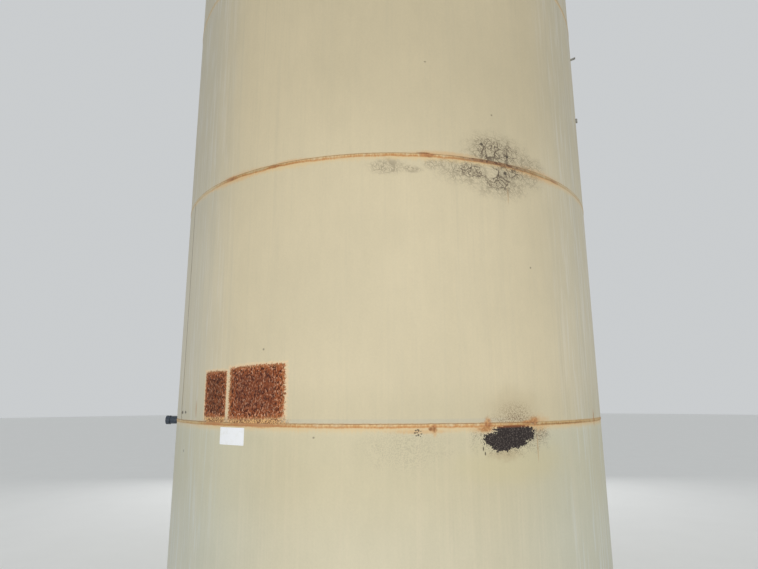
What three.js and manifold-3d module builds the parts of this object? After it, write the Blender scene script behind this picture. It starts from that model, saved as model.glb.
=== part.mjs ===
// Vertical storage tank: a welded steel cylinder on a flat bottom, with a flanged, slightly coned roof.
// Millimetres, +Z up. The origin is on the tank's axis, at the underside of the bottom plate.
// Polar angles are measured from +X, counter-clockwise seen from above. The front is towards -Y.
import * as THREE from 'three';
import { mergeVertices } from 'three/addons/utils/BufferGeometryUtils.js';
import Module from 'manifold-3d';

const wasm = await Module();
wasm.setup();

const INCH = 25.4;

// Shell: four courses of rolled plate, each made of two half-round plates.
const RADIUS = 63 * INCH;
const PLATE = 0.25 * INCH;
const COURSE = 60 * INCH;
const TOP_COURSE = 46 * INCH;
const CHIME = 1 * INCH;
const FACETS = 72;
const FACET_ANGLE = 360 / FACETS;
const SHELL_BASE = PLATE;
const COURSE_STARTS = [0, 1, 2, 3].map((count) => SHELL_BASE + count * COURSE);
const SHELL_TOP = COURSE_STARTS[3] + TOP_COURSE;

// Polar angle of the first vertical joint of each course. The other joint is opposite.
const VERTICAL_JOINTS = [-15, 30, 0, 15];

// Weld beads stand a little proud of the plates.
const BEAD_WIDTH = 18;
const BEAD_HEIGHT = 2.5;
const FILLET_LEG = 7;

// Roof: a straight flange, a knuckle and a shallow cone, in two halves.
const RIM_BAND = 2 * INCH;
const KNUCKLE = 1 * INCH;
const KNUCKLE_STEPS = 3;
const CONE_RISE = 98;
const RIM_TOP = SHELL_TOP + RIM_BAND;
const ROOF_BEAD_REACH = RADIUS - 40;

// A piece that is cut to clear its neighbour stays this far from it.
const CLEARANCE = 0.3;
const BEAD_SEAT = RADIUS + CLEARANCE;
const ROUND_STEPS = 32;
const SMALL_ROUND_STEPS = 24;
const HOLE_STEPS = 16;
const TOOL_REACH = 100;

// Lifting lugs on the rim band, opposite each other, with a doubler plate on the shell below each.
const LUG_ANGLES = [40, -140];
const LUG = {
  width: 165,
  shoulder: 122,
  height: 222,
  topWidth: 70,
  thickness: 0.5 * INCH,
  hole: 60,
  holeHeight: 150,
};
const LUG_PAD = { width: 356, height: 100, corner: 70 };

// Manway on the roof, in line with the nozzles.
const MANWAY = { radius: 1150, neckOuter: 20 * INCH, flangeOuter: 24 * INCH, flangeThickness: 0.5 * INCH };
const MANWAY_COVER_TOP = RIM_TOP + 286;
const MANWAY_NECK_DROP = 1 * INCH;

// Vent coupling on the roof, with its plug.
const VENT = { angle: 20, radius: 1050, outer: 5.5 * INCH, bore: 4.4 * INCH, height: 95 };
const VENT_PLUG = { head: 2 * INCH, rise: 30, recess: 4, depth: 30 };

// Nozzles on the back of the shell, above each other on the +Y line.
const NOZZLE_ANGLE = 90;
const UPPER_NOZZLE = {
  height: RIM_TOP - 237,
  neckOuter: 3.5 * INCH,
  neckBore: 3.07 * INCH,
  reach: 6 * INCH,
  flangeOuter: 11 * INCH,
  flangeThickness: 1 * INCH,
};
const OUTLET = {
  height: 10 * INCH,
  neckOuter: 4.5 * INCH,
  neckBore: 4.03 * INCH,
  reach: 6 * INCH,
  flangeOuter: 9 * INCH,
  flangeThickness: 0.94 * INCH,
};
const NECK_INSIDE = 2 * INCH;
const FLANGE_SETBACK = 4;
const OUTLET_PAD_OUTER = 9 * INCH;
const LOWER_COUPLING = { height: 50 * INCH, outer: 3 * INCH, bore: 2.3 * INCH, reach: 1.1 * INCH };
const COUPLING_INSIDE = 1 * INCH;
const COUPLING_PAD_OUTER = 12 * INCH;
const TELL_TALE = { bore: 0.3 * INCH, offset: -75 };
const PLUG_RECESS = 3;
const PLUG_LENGTH = 22;

// Capped nipple on the left side, at the lowest girth seam.
const NIPPLE = { angle: 180, height: SHELL_BASE + 1503, outer: 2.375 * INCH, bore: 2.07 * INCH, length: 176 };
const CAP = { outer: 2.75 * INCH, length: 34, end: 7 };

// Two small clips left on the right side of the shell.
const CLIP_ANGLE = -20;
const UPPER_CLIP = { height: 4362, reach: 38, rise: 10, width: 25, thickness: 6 };
const LOWER_CLIP = { height: 3810, reach: 14, rise: 0, width: 20, thickness: 30 };

const UP = new THREE.Vector3(0, 0, 1);

const cream = new THREE.MeshStandardMaterial({ color: 0xcdc2a4, roughness: 0.7, metalness: 0 });
const bead = new THREE.MeshStandardMaterial({ color: 0xb98a55, roughness: 0.85, metalness: 0 });
const rust = new THREE.MeshStandardMaterial({ color: 0x5c3424, roughness: 0.9, metalness: 0.1 });
const flangeRust = new THREE.MeshStandardMaterial({ color: 0xb5854b, roughness: 0.85, metalness: 0.1 });
const darkPaint = new THREE.MeshStandardMaterial({ color: 0x3d4a5c, roughness: 0.6, metalness: 0.1 });
const bareSteel = new THREE.MeshStandardMaterial({ color: 0x7d7a72, roughness: 0.6, metalness: 0.6 });

const tank = new THREE.Group();

function addPiece(name, geometry, material) {
  const mesh = new THREE.Mesh(geometry, material);
  mesh.name = name;
  tank.add(mesh);
  return mesh;
}

// Turns a closed geometry into a solid for cutting, and back.
function toSolid(geometry) {
  const bare = geometry.clone();
  bare.deleteAttribute('normal');
  bare.deleteAttribute('uv');
  const merged = mergeVertices(bare, 1e-4);
  const mesh = new wasm.Mesh({
    numProp: 3,
    vertProperties: new Float32Array(merged.attributes.position.array),
    triVerts: new Uint32Array(merged.index.array),
  });
  return new wasm.Manifold(mesh);
}

function toGeometry(solid) {
  const mesh = solid.getMesh();
  const geometry = new THREE.BufferGeometry();
  geometry.setAttribute('position', new THREE.BufferAttribute(mesh.vertProperties, mesh.numProp));
  geometry.setIndex(new THREE.BufferAttribute(mesh.triVerts, 1));
  geometry.computeVertexNormals();
  return geometry;
}

function cut(geometry, tools) {
  return toGeometry(tools.reduce((solid, tool) => solid.subtract(toSolid(tool)), toSolid(geometry)));
}

function overlap(first, second) {
  return toGeometry(toSolid(first).intersect(toSolid(second)));
}

// The faceted circle that the shell, its beads and its roof share.
function shellPoint(radius, facet) {
  const angle = 2 * Math.PI * (((facet % FACETS) + FACETS) % FACETS) / FACETS;
  return new THREE.Vector2(radius * Math.cos(angle), radius * Math.sin(angle));
}

function wallPiece(inner, outer, firstAngle, lastAngle, bottom, top) {
  const first = Math.round(firstAngle / FACET_ANGLE);
  const last = Math.round(lastAngle / FACET_ANGLE);
  const outline = [];
  for (let facet = first; facet <= last; facet += 1) outline.push(shellPoint(outer, facet));
  for (let facet = last; facet >= first; facet -= 1) outline.push(shellPoint(inner, facet));
  const options = { depth: top - bottom, bevelEnabled: false };
  return new THREE.ExtrudeGeometry(new THREE.Shape(outline), options).translate(0, 0, bottom);
}

// Turns a profile of [radius, height] points about the +Z axis.
function turned(profile, steps) {
  const points = profile.map(([radius, height]) => new THREE.Vector2(radius, height));
  return new THREE.LatheGeometry(points, steps).rotateX(Math.PI / 2);
}

function turnedRing(section, steps) {
  return turned([...section, section[0]], steps);
}

function tube(outer, bore, bottom, top, steps) {
  const [wide, narrow] = [outer / 2, bore / 2];
  return turnedRing([[wide, bottom], [wide, top], [narrow, top], [narrow, bottom]], steps);
}

function rod(diameter, bottom, top, steps) {
  return turned([[0, bottom], [diameter / 2, bottom], [diameter / 2, top], [0, top]], steps);
}

// Lays a piece made about +Z along a level radial line of the shell, at a height. Its z becomes the radius.
function radially(geometry, angle, height) {
  const turn = THREE.MathUtils.degToRad(angle);
  const outward = new THREE.Vector3(Math.cos(turn), Math.sin(turn), 0);
  const sideways = new THREE.Vector3().crossVectors(UP, outward);
  const placed = new THREE.Matrix4().makeBasis(sideways, UP, outward);
  placed.setPosition(0, 0, height);
  return geometry.applyMatrix4(placed);
}

function roundHole(diameter, height) {
  const points = Array.from({ length: HOLE_STEPS }, (_, step) => {
    const angle = 2 * Math.PI * step / HOLE_STEPS;
    return new THREE.Vector2(diameter / 2 * Math.cos(angle), height + diameter / 2 * Math.sin(angle));
  });
  return new THREE.Path(points);
}

function stampTool(diameter, angle, height, steps) {
  return radially(rod(diameter, RADIUS - TOOL_REACH, RADIUS + TOOL_REACH, steps), angle, height);
}

function boreTool(diameter, angle, height) {
  return stampTool(diameter + 2 * CLEARANCE, angle, height, SMALL_ROUND_STEPS);
}

// A round pad that follows the shell's curve.
function roundPad(outer, bore, angle, height) {
  const reach = Math.ceil(THREE.MathUtils.radToDeg(outer / 2 / RADIUS) / FACET_ANGLE + 1) * FACET_ANGLE;
  const inner = RADIUS + CLEARANCE;
  const [first, last] = [angle - reach, angle + reach];
  const wall = wallPiece(inner, inner + PLATE, first, last, height - outer, height + outer);
  const blank = stampTool(outer, angle, height, ROUND_STEPS);
  return cut(overlap(wall, blank), [boreTool(bore, angle, height)]);
}

// Bottom plate, a little wider than the shell, and the fillet weld that joins them.
addPiece('bottom_plate', rod(2 * (RADIUS + CHIME), 0, SHELL_BASE, FACETS), cream);
addPiece('foot_weld', turnedRing([
  [BEAD_SEAT, SHELL_BASE],
  [BEAD_SEAT + FILLET_LEG, SHELL_BASE],
  [BEAD_SEAT, SHELL_BASE + FILLET_LEG],
], FACETS), bead);

// Shell plates. The back ones are cut for the nozzles.
const SHELL_BORES = [
  { course: 0, tool: () => boreTool(OUTLET.neckOuter, NOZZLE_ANGLE, OUTLET.height) },
  { course: 0, tool: () => boreTool(LOWER_COUPLING.outer, NOZZLE_ANGLE, LOWER_COUPLING.height) },
  { course: 3, tool: () => boreTool(UPPER_NOZZLE.neckOuter, NOZZLE_ANGLE, UPPER_NOZZLE.height) },
];
COURSE_STARTS.forEach((bottom, course) => {
  const top = COURSE_STARTS[course + 1] ?? SHELL_TOP;
  const start = VERTICAL_JOINTS[course];
  const tools = SHELL_BORES.filter((bore) => bore.course === course).map((bore) => bore.tool());
  const back = wallPiece(RADIUS - PLATE, RADIUS, start, start + 180, bottom, top);
  const front = wallPiece(RADIUS - PLATE, RADIUS, start + 180, start + 360, bottom, top);
  addPiece(`course_${course + 1}_back`, tools.length ? cut(back, tools) : back, cream);
  addPiece(`course_${course + 1}_front`, front, cream);
});

// Girth welds between the courses, and the weld under the roof's flange.
function girthBead(height) {
  return turnedRing([
    [BEAD_SEAT, height - BEAD_WIDTH / 2],
    [BEAD_SEAT + BEAD_HEIGHT, height],
    [BEAD_SEAT, height + BEAD_WIDTH / 2],
  ], FACETS);
}
COURSE_STARTS.slice(1).forEach((height, count) => {
  const nippleTool = boreTool(NIPPLE.outer, NIPPLE.angle, NIPPLE.height);
  const geometry = count === 0 ? cut(girthBead(height), [nippleTool]) : girthBead(height);
  addPiece(`girth_weld_${count + 1}`, geometry, bead);
});
addPiece('rim_weld', girthBead(SHELL_TOP), bead);

// Roof. Both skins of the knuckle share a centre, and the cone runs from the knuckle to the apex.
function roofProfile() {
  const center = [RADIUS - KNUCKLE, RIM_TOP - KNUCKLE];
  const arc = (radius) => Array.from({ length: KNUCKLE_STEPS + 1 }, (_, step) => {
    const angle = Math.PI / 2 * step / KNUCKLE_STEPS;
    return [center[0] + radius * Math.cos(angle), center[1] + radius * Math.sin(angle)];
  });
  const outer = [[RADIUS, SHELL_TOP], ...arc(KNUCKLE), [0, RIM_TOP + CONE_RISE]];
  const inner = [[RADIUS - PLATE, SHELL_TOP], ...arc(KNUCKLE - PLATE), [0, RIM_TOP + CONE_RISE - PLATE]];
  return [...inner.reverse(), ...outer];
}
function roofHeight(radius) {
  return RIM_TOP + CONE_RISE * (1 - radius / (RADIUS - KNUCKLE));
}
const roofTool = (diameter, steps) => rod(diameter, SHELL_TOP - TOOL_REACH, RIM_TOP + 2 * TOOL_REACH, steps);
const manwayTool = roofTool(MANWAY.neckOuter + 2 * CLEARANCE, ROUND_STEPS).translate(0, MANWAY.radius, 0);
const ventPlace = [
  VENT.radius * Math.cos(THREE.MathUtils.degToRad(VENT.angle)),
  VENT.radius * Math.sin(THREE.MathUtils.degToRad(VENT.angle)),
];
const ventTool = roofTool(VENT.bore, SMALL_ROUND_STEPS).translate(...ventPlace, 0);
const wholeRoof = turned(roofProfile(), FACETS);
function roofHalf(side) {
  const span = 2 * (RADIUS + TOOL_REACH);
  const place = side * (span + CLEARANCE) / 2;
  return overlap(wholeRoof, new THREE.BoxGeometry(span, span, span).translate(0, place, RIM_TOP));
}
addPiece('roof_back', cut(roofHalf(1), [manwayTool, ventTool]), cream);
addPiece('roof_front', roofHalf(-1), cream);

// The bead along the roof's joint, from side to side over the apex.
const beadEnds = roofHeight(ROOF_BEAD_REACH) + CLEARANCE;
const beadPeak = RIM_TOP + CONE_RISE + CLEARANCE;
const beadSide = new THREE.Shape([
  new THREE.Vector2(-ROOF_BEAD_REACH, beadEnds),
  new THREE.Vector2(0, beadPeak),
  new THREE.Vector2(ROOF_BEAD_REACH, beadEnds),
  new THREE.Vector2(ROOF_BEAD_REACH, beadEnds + BEAD_HEIGHT),
  new THREE.Vector2(0, beadPeak + BEAD_HEIGHT),
  new THREE.Vector2(-ROOF_BEAD_REACH, beadEnds + BEAD_HEIGHT),
]);
addPiece('roof_weld', new THREE.ExtrudeGeometry(beadSide, { depth: BEAD_WIDTH, bevelEnabled: false })
  .translate(0, 0, -BEAD_WIDTH / 2)
  .rotateX(Math.PI / 2), bead);

// Lifting lugs: flat plates with clipped top corners and a shackle hole, and their doublers.
function lugOutline() {
  const [half, top] = [LUG.width / 2, LUG.topWidth / 2];
  const outline = new THREE.Shape([
    new THREE.Vector2(-half, 0),
    new THREE.Vector2(half, 0),
    new THREE.Vector2(half, LUG.shoulder),
    new THREE.Vector2(top, LUG.height),
    new THREE.Vector2(-top, LUG.height),
    new THREE.Vector2(-half, LUG.shoulder),
  ]);
  outline.holes.push(roundHole(LUG.hole, LUG.holeHeight));
  return outline;
}
function lugPadOutline() {
  const [half, corner] = [LUG_PAD.width / 2, LUG_PAD.corner];
  const outline = new THREE.Shape();
  outline.moveTo(-half, 0);
  outline.lineTo(-half, corner - LUG_PAD.height);
  outline.absarc(-half + corner, corner - LUG_PAD.height, corner, Math.PI, 1.5 * Math.PI, false);
  outline.absarc(half - corner, corner - LUG_PAD.height, corner, 1.5 * Math.PI, 2 * Math.PI, false);
  outline.lineTo(half, 0);
  return outline;
}
const lugFoot = SHELL_TOP + BEAD_WIDTH / 2 + 2;
const padTop = SHELL_TOP - BEAD_WIDTH / 2 - CLEARANCE;
LUG_ANGLES.forEach((angle, count) => {
  const lug = new THREE.ExtrudeGeometry(lugOutline(), { depth: LUG.thickness, bevelEnabled: false })
    .translate(0, 0, RADIUS + CLEARANCE);
  addPiece(`lifting_lug_${count + 1}`, radially(lug, angle, lugFoot), cream);
  const stampOptions = { depth: 2 * TOOL_REACH, bevelEnabled: false, curveSegments: 6 };
  const stamp = new THREE.ExtrudeGeometry(lugPadOutline(), stampOptions).translate(0, 0, RADIUS - TOOL_REACH);
  const [first, last] = [angle - 2 * FACET_ANGLE, angle + 2 * FACET_ANGLE];
  const inner = RADIUS + CLEARANCE;
  const wall = wallPiece(inner, inner + PLATE, first, last, padTop - 2 * TOOL_REACH, padTop);
  addPiece(`lug_pad_${count + 1}`, overlap(wall, radially(stamp, angle, padTop + CLEARANCE)), cream);
});

// Manway: a neck through the roof, its flange and a bolted cover.
const flangeTop = MANWAY_COVER_TOP - MANWAY.flangeThickness;
const neckBottom = roofHeight(MANWAY.radius + MANWAY.neckOuter / 2) - PLATE - MANWAY_NECK_DROP;
const neckBore = MANWAY.neckOuter - 2 * PLATE;
const overRoof = (geometry) => geometry.translate(0, MANWAY.radius, 0);
const manwayNeck = tube(MANWAY.neckOuter, neckBore, neckBottom, flangeTop, ROUND_STEPS);
addPiece('manway_neck', overRoof(manwayNeck), cream);
addPiece('manway_flange', overRoof(tube(
  MANWAY.flangeOuter,
  MANWAY.neckOuter + 2 * CLEARANCE,
  flangeTop - MANWAY.flangeThickness,
  flangeTop,
  ROUND_STEPS,
)), rust);
addPiece('manway_cover', overRoof(rod(MANWAY.flangeOuter, flangeTop, MANWAY_COVER_TOP, ROUND_STEPS)), rust);

// Vent coupling, seated on the cone, and its square-headed plug.
const overVent = (geometry) => geometry.translate(...ventPlace, 0);
const ventTop = roofHeight(VENT.radius) + VENT.height;
const ventBottom = roofHeight(VENT.radius) - VENT.height;
const ventBody = overVent(tube(VENT.outer, VENT.bore, ventBottom, ventTop, SMALL_ROUND_STEPS));
const underCone = turned([
  [0, SHELL_TOP - TOOL_REACH],
  [RADIUS - KNUCKLE, SHELL_TOP - TOOL_REACH],
  [RADIUS - KNUCKLE, RIM_TOP + CLEARANCE],
  [0, RIM_TOP + CONE_RISE + CLEARANCE],
], FACETS);
addPiece('vent_coupling', cut(ventBody, [underCone]), cream);
const plugBottom = ventTop - VENT_PLUG.depth;
const plugShoulder = ventTop - VENT_PLUG.recess;
const headHeight = ventTop + VENT_PLUG.rise - plugBottom;
const plugBody = rod(VENT.bore - 2 * CLEARANCE, plugBottom, plugShoulder, SMALL_ROUND_STEPS);
const plugHead = new THREE.BoxGeometry(VENT_PLUG.head, VENT_PLUG.head, headHeight)
  .translate(0, 0, plugBottom + headHeight / 2);
addPiece('vent_plug', overVent(toGeometry(toSolid(plugBody).add(toSolid(plugHead)))), rust);

// Flanged nozzles on the back: the neck passes through the shell into the slip-on flange.
function flangedNozzle(name, nozzle) {
  const face = RADIUS + nozzle.reach;
  const neckEnds = [RADIUS - NECK_INSIDE, face - FLANGE_SETBACK];
  const neck = tube(nozzle.neckOuter, nozzle.neckBore, ...neckEnds, SMALL_ROUND_STEPS);
  addPiece(`${name}_neck`, radially(neck, NOZZLE_ANGLE, nozzle.height), cream);
  const flangeBore = nozzle.neckOuter + 2 * CLEARANCE;
  const flange = tube(nozzle.flangeOuter, flangeBore, face - nozzle.flangeThickness, face, ROUND_STEPS);
  addPiece(`${name}_flange`, radially(flange, NOZZLE_ANGLE, nozzle.height), flangeRust);
}
flangedNozzle('upper_nozzle', UPPER_NOZZLE);
flangedNozzle('outlet', OUTLET);
addPiece('outlet_pad', roundPad(OUTLET_PAD_OUTER, OUTLET.neckOuter, NOZZLE_ANGLE, OUTLET.height), cream);

// Lower coupling: a half coupling in a round pad with a tell-tale hole, closed by a plug.
const tellTale = radially(
  rod(TELL_TALE.bore, RADIUS, RADIUS + TOOL_REACH, HOLE_STEPS).translate(TELL_TALE.offset, 0, 0),
  NOZZLE_ANGLE,
  LOWER_COUPLING.height,
);
const couplingPad = roundPad(
  COUPLING_PAD_OUTER,
  LOWER_COUPLING.outer,
  NOZZLE_ANGLE,
  LOWER_COUPLING.height,
);
addPiece('coupling_pad', cut(couplingPad, [tellTale]), flangeRust);
const couplingFace = RADIUS + LOWER_COUPLING.reach;
const couplingEnds = [RADIUS - COUPLING_INSIDE, couplingFace];
const coupling = tube(LOWER_COUPLING.outer, LOWER_COUPLING.bore, ...couplingEnds, SMALL_ROUND_STEPS);
addPiece('lower_coupling', radially(coupling, NOZZLE_ANGLE, LOWER_COUPLING.height), flangeRust);
const plugFace = couplingFace - PLUG_RECESS;
const plug = rod(LOWER_COUPLING.bore - 2 * CLEARANCE, plugFace - PLUG_LENGTH, plugFace, SMALL_ROUND_STEPS);
addPiece('coupling_plug', radially(plug, NOZZLE_ANGLE, LOWER_COUPLING.height), bareSteel);

// Capped nipple on the left.
const nippleRoot = RADIUS + CLEARANCE;
const nipple = tube(NIPPLE.outer, NIPPLE.bore, nippleRoot, nippleRoot + NIPPLE.length, SMALL_ROUND_STEPS);
addPiece('side_nipple', radially(nipple, NIPPLE.angle, NIPPLE.height), darkPaint);
const capSeat = nippleRoot + NIPPLE.length;
const capInner = NIPPLE.outer / 2 + CLEARANCE;
const capBody = turned([
  [0, capSeat + CLEARANCE],
  [capInner, capSeat + CLEARANCE],
  [capInner, capSeat + CAP.end - CAP.length],
  [CAP.outer / 2, capSeat + CAP.end - CAP.length],
  [CAP.outer / 2, capSeat + CAP.end],
  [0, capSeat + CAP.end],
], SMALL_ROUND_STEPS);
addPiece('side_cap', radially(capBody, NIPPLE.angle, NIPPLE.height), darkPaint);

// Clips on the right.
function clip(name, { height, reach, rise, width, thickness }) {
  const root = RADIUS + CLEARANCE;
  const side = new THREE.Shape([
    new THREE.Vector2(root, 0),
    new THREE.Vector2(root + reach, rise),
    new THREE.Vector2(root + reach, rise + thickness),
    new THREE.Vector2(root, thickness),
  ]);
  const bar = new THREE.ExtrudeGeometry(side, { depth: width, bevelEnabled: false })
    .translate(0, 0, -width / 2)
    .rotateX(Math.PI / 2)
    .rotateZ(THREE.MathUtils.degToRad(CLIP_ANGLE))
    .translate(0, 0, height);
  addPiece(name, bar, rust);
}
clip('upper_clip', UPPER_CLIP);
clip('lower_clip', LOWER_CLIP);

export default tank;
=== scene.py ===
# %% [markdown]
# # A vertical storage tank
# The object is a welded steel tank: a plain cylinder 3.2 m across, rolled from 1/4 in plate in four
# courses, with a shallow cone roof. Its cream paint has faded, and rust has come up along every weld. The
# CAD model already has every size right. This lesson builds the smooth and worn look of the tank around it,
# piece by piece.

# %% Load the frame
import math

import bmesh
import bpy
from mathutils import Matrix, Vector


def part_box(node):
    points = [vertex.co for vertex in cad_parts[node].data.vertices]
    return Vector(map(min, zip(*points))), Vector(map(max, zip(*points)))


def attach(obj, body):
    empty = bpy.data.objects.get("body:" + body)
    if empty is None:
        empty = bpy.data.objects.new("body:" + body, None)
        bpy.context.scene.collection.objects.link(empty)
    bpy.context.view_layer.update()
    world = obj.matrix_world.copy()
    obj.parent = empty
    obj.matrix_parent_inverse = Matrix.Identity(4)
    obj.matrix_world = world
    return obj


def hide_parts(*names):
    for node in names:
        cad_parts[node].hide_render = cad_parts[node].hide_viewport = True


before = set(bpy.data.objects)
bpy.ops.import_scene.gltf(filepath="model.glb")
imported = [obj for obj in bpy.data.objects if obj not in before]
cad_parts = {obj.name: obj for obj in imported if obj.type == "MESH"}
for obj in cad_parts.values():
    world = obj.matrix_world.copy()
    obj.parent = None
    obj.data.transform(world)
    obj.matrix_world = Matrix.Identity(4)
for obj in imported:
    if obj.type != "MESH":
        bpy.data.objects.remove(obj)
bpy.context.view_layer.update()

# %% [markdown]
# ## The camera
# The photograph was taken close by, at eye height, looking up 12 degrees with a wide lens. The place, the
# lens and the tilt come from a fit to both outlines of the tank and to its three seams, so the render has
# the photograph's frame. It comes first, because every later look is judged through it.

# %% Camera
CAMERA_PLACE = (-0.0653, -4.5485, 1.6725)
LENS_MM = 26.0
SENSOR_MM = 36.0
TILT_UP = 11.74
ROLL = -0.251


def turned(degrees, axis="Z"):
    return Matrix.Rotation(math.radians(degrees), 4, axis)


bpy.ops.object.camera_add()
camera = bpy.context.object
camera.name = "eye_height_camera"
camera.data.lens = LENS_MM
camera.data.sensor_fit = "HORIZONTAL"
camera.data.sensor_width = SENSOR_MM
camera.matrix_world = Matrix.Translation(CAMERA_PLACE) @ turned(90 + TILT_UP, "X") @ turned(ROLL)
bpy.context.scene.camera = camera
print("camera at", CAMERA_PLACE, "lens", LENS_MM, "mm")

# %% [markdown]
# ## Working by hand, in code
# Every piece is made as it would be by hand: add a primitive at its size and place, pick faces or edges,
# shape them in edit mode, and finish with modifiers. A few small helpers keep that short. Operators act on
# whatever is selected, so each helper first clears the selection, and then picks by place or by the way a
# face looks.

# %% Helpers for picking and shaping
def clear():
    if bpy.context.object and bpy.context.object.mode != "OBJECT":
        bpy.ops.object.mode_set(mode="OBJECT")
    bpy.ops.object.select_all(action="DESELECT")


def take(piece):
    clear()
    piece.select_set(True)
    bpy.context.view_layer.objects.active = piece


def named(name):
    piece = bpy.context.object
    piece.name = piece.data.name = name
    return piece


def settle(piece):
    """Puts the object's place, turn and size into its mesh."""
    take(piece)
    bpy.ops.object.transform_apply(location=True, rotation=True, scale=True)
    return piece


def middle(element):
    if isinstance(element, bmesh.types.BMEdge):
        return (element.verts[0].co + element.verts[1].co) / 2
    return element.co if isinstance(element, bmesh.types.BMVert) else element.calc_center_median()


def pick(piece, kind, test=lambda place, element: True):
    """Goes into edit mode and selects the vertices, edges or faces that pass the test, or all without one."""
    take(piece)
    bpy.ops.object.mode_set(mode="EDIT")
    bpy.ops.mesh.select_mode(type=kind)
    bpy.ops.mesh.select_all(action="DESELECT")
    shape = bmesh.from_edit_mesh(piece.data)
    elements = {"VERT": shape.verts, "EDGE": shape.edges, "FACE": shape.faces}[kind]
    for element in [one for one in elements if test(middle(one), one)]:
        element.select_set(True)
    shape.select_flush_mode()
    bmesh.update_edit_mesh(piece.data)


def drop_faces(piece, test, what="FACE"):
    pick(piece, "FACE", test)
    bpy.ops.mesh.delete(type=what)
    clear()


def round_edges(piece, test, size, steps):
    pick(piece, "EDGE", test)
    bpy.ops.mesh.bevel(offset=size, segments=steps)
    clear()


def face_outwards(piece):
    pick(piece, "FACE")
    bpy.ops.mesh.normals_make_consistent(inside=False)
    clear()


def modify(piece, kind, **settings):
    take(piece)
    bpy.ops.object.modifier_add(type=kind)
    modifier = piece.modifiers[-1]
    for key, value in settings.items():
        setattr(modifier, key, value)
    bpy.ops.object.modifier_apply(modifier=modifier.name)
    return piece


def combine(piece, tool, operation="DIFFERENCE"):
    """Cuts the piece with a tool, or keeps what they share, and throws the tool away."""
    modify(piece, "BOOLEAN", object=tool, operation=operation, solver="EXACT")
    bpy.data.objects.remove(tool)
    return piece


def join(pieces, name):
    take(pieces[0])
    for piece in pieces:
        piece.select_set(True)
    bpy.ops.object.join()
    return named(name)


def copy_of(piece, name, move=Matrix()):
    """A copy with its own mesh, moved by a matrix."""
    twin = piece.copy()
    twin.data = piece.data.copy()
    twin.name = twin.data.name = name
    twin.data.transform(move)
    bpy.context.scene.collection.objects.link(twin)
    return twin


# %% [markdown]
# Three finishing touches come back on nearly every piece. A cut leaves tiny edges and empty faces behind,
# which are merged away. Sharp edges are rounded a little, as rolling, grinding and paint do. Shading stays
# smooth on round parts and sharp at corners.

# %% Helpers for finishing
SLIVER = 0.00005
SHARP_CORNER = math.radians(40)


def merge_slivers(piece):
    pick(piece, "FACE")
    bpy.ops.mesh.remove_doubles(threshold=SLIVER)
    bpy.ops.mesh.dissolve_degenerate(threshold=SLIVER)
    face_outwards(piece)
    return piece


def smooth(piece, angle=35):
    take(piece)
    bpy.ops.object.shade_smooth_by_angle(angle=math.radians(angle))
    return piece


def soften(piece, width=0.0008, steps=2):
    merge_slivers(piece)
    modify(piece, "BEVEL", width=width, segments=steps, limit_method="ANGLE", angle_limit=SHARP_CORNER)
    return smooth(merge_slivers(piece))


# %% [markdown]
# ## Round bars that point any way
# Most fittings of a tank are turned: necks, flanges, pads, couplings and beads. They start as cylinders
# that stand upright, or that lie on a level radial line of the shell. A turn of 90 degrees about Y lays a
# cylinder's own Z outwards, and the angle about Z takes it round the tank. The same cylinders serve as
# drills.

# %% Helpers for round pieces
FRONT, BACK = -90.0, 90.0


def polar(angle, radius, height=0.0):
    turn = math.radians(angle)
    return Vector((radius * math.cos(turn), radius * math.sin(turn), height))


def lying(angle):
    return (0, math.pi / 2, math.radians(angle))


def cylinder(name, radius, length, place, steps, turn=(0, 0, 0), ends="NGON"):
    clear()
    bpy.ops.mesh.primitive_cylinder_add(
        vertices=steps, radius=radius, depth=length, location=place, rotation=turn, end_fill_type=ends
    )
    return settle(named(name))


def upright(name, radius, low, high, steps, place=(0, 0), ends="NGON"):
    return cylinder(name, radius, high - low, (*place, (low + high) / 2), steps, ends=ends)


def radial(name, radius, near, far, height, steps=64, angle=BACK, across=0.0):
    """A cylinder on the level line at a polar angle, from one distance to another, or beside that line."""
    place = polar(angle, (near + far) / 2, height) + polar(angle - 90, across)
    return cylinder(name, radius, far - near, place, steps, lying(angle))


def drill(piece, radius, near, far, height, steps=64, angle=BACK, across=0.0):
    return combine(piece, radial("tool", radius, near, far, height, steps, angle, across))


def drill_down(piece, radius, low, high, steps, place):
    return combine(piece, upright("tool", radius, low, high, steps, place))


# %% [markdown]
# ## The tank's own sizes
# These repeat the CAD model's values in metres: the rolled shell, its courses and the roof. The four rings
# of plate are 5 ft high, the last one is cut to 46 in, and the straight flange of the roof adds 2 in.

# %% Sizes
INCH = 0.0254
RADIUS = 63 * INCH
PLATE = 0.25 * INCH
COURSE = 60 * INCH
SEAMS = [PLATE + COURSE * count for count in range(4)]
SHELL_TOP = SEAMS[3] + 46 * INCH
SEAMS.append(SHELL_TOP)
RIM_TOP = SHELL_TOP + 2 * INCH
JOINTS = [-15, 30, 0, 15]
BEAD_HALF = 0.009
BEAD_HEIGHT = 0.0024
SHELL_STEPS = 288
print("shell", round(2 * RADIUS, 3), "m across, rim at", round(RIM_TOP, 3), "m")

# %% [markdown]
# ## Shell plates
# Each course of the real tank is two plates, rolled to a half circle and butt-welded. Here a cylinder
# without caps gets 288 steps, so that its outline is round to a tenth of a millimetre. Half of its faces
# are deleted, and Solidify gives the rest the real wall of 1/4 in, inwards. The plates behind the nozzles
# are drilled with round tools, so the tank really is open there.

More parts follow.
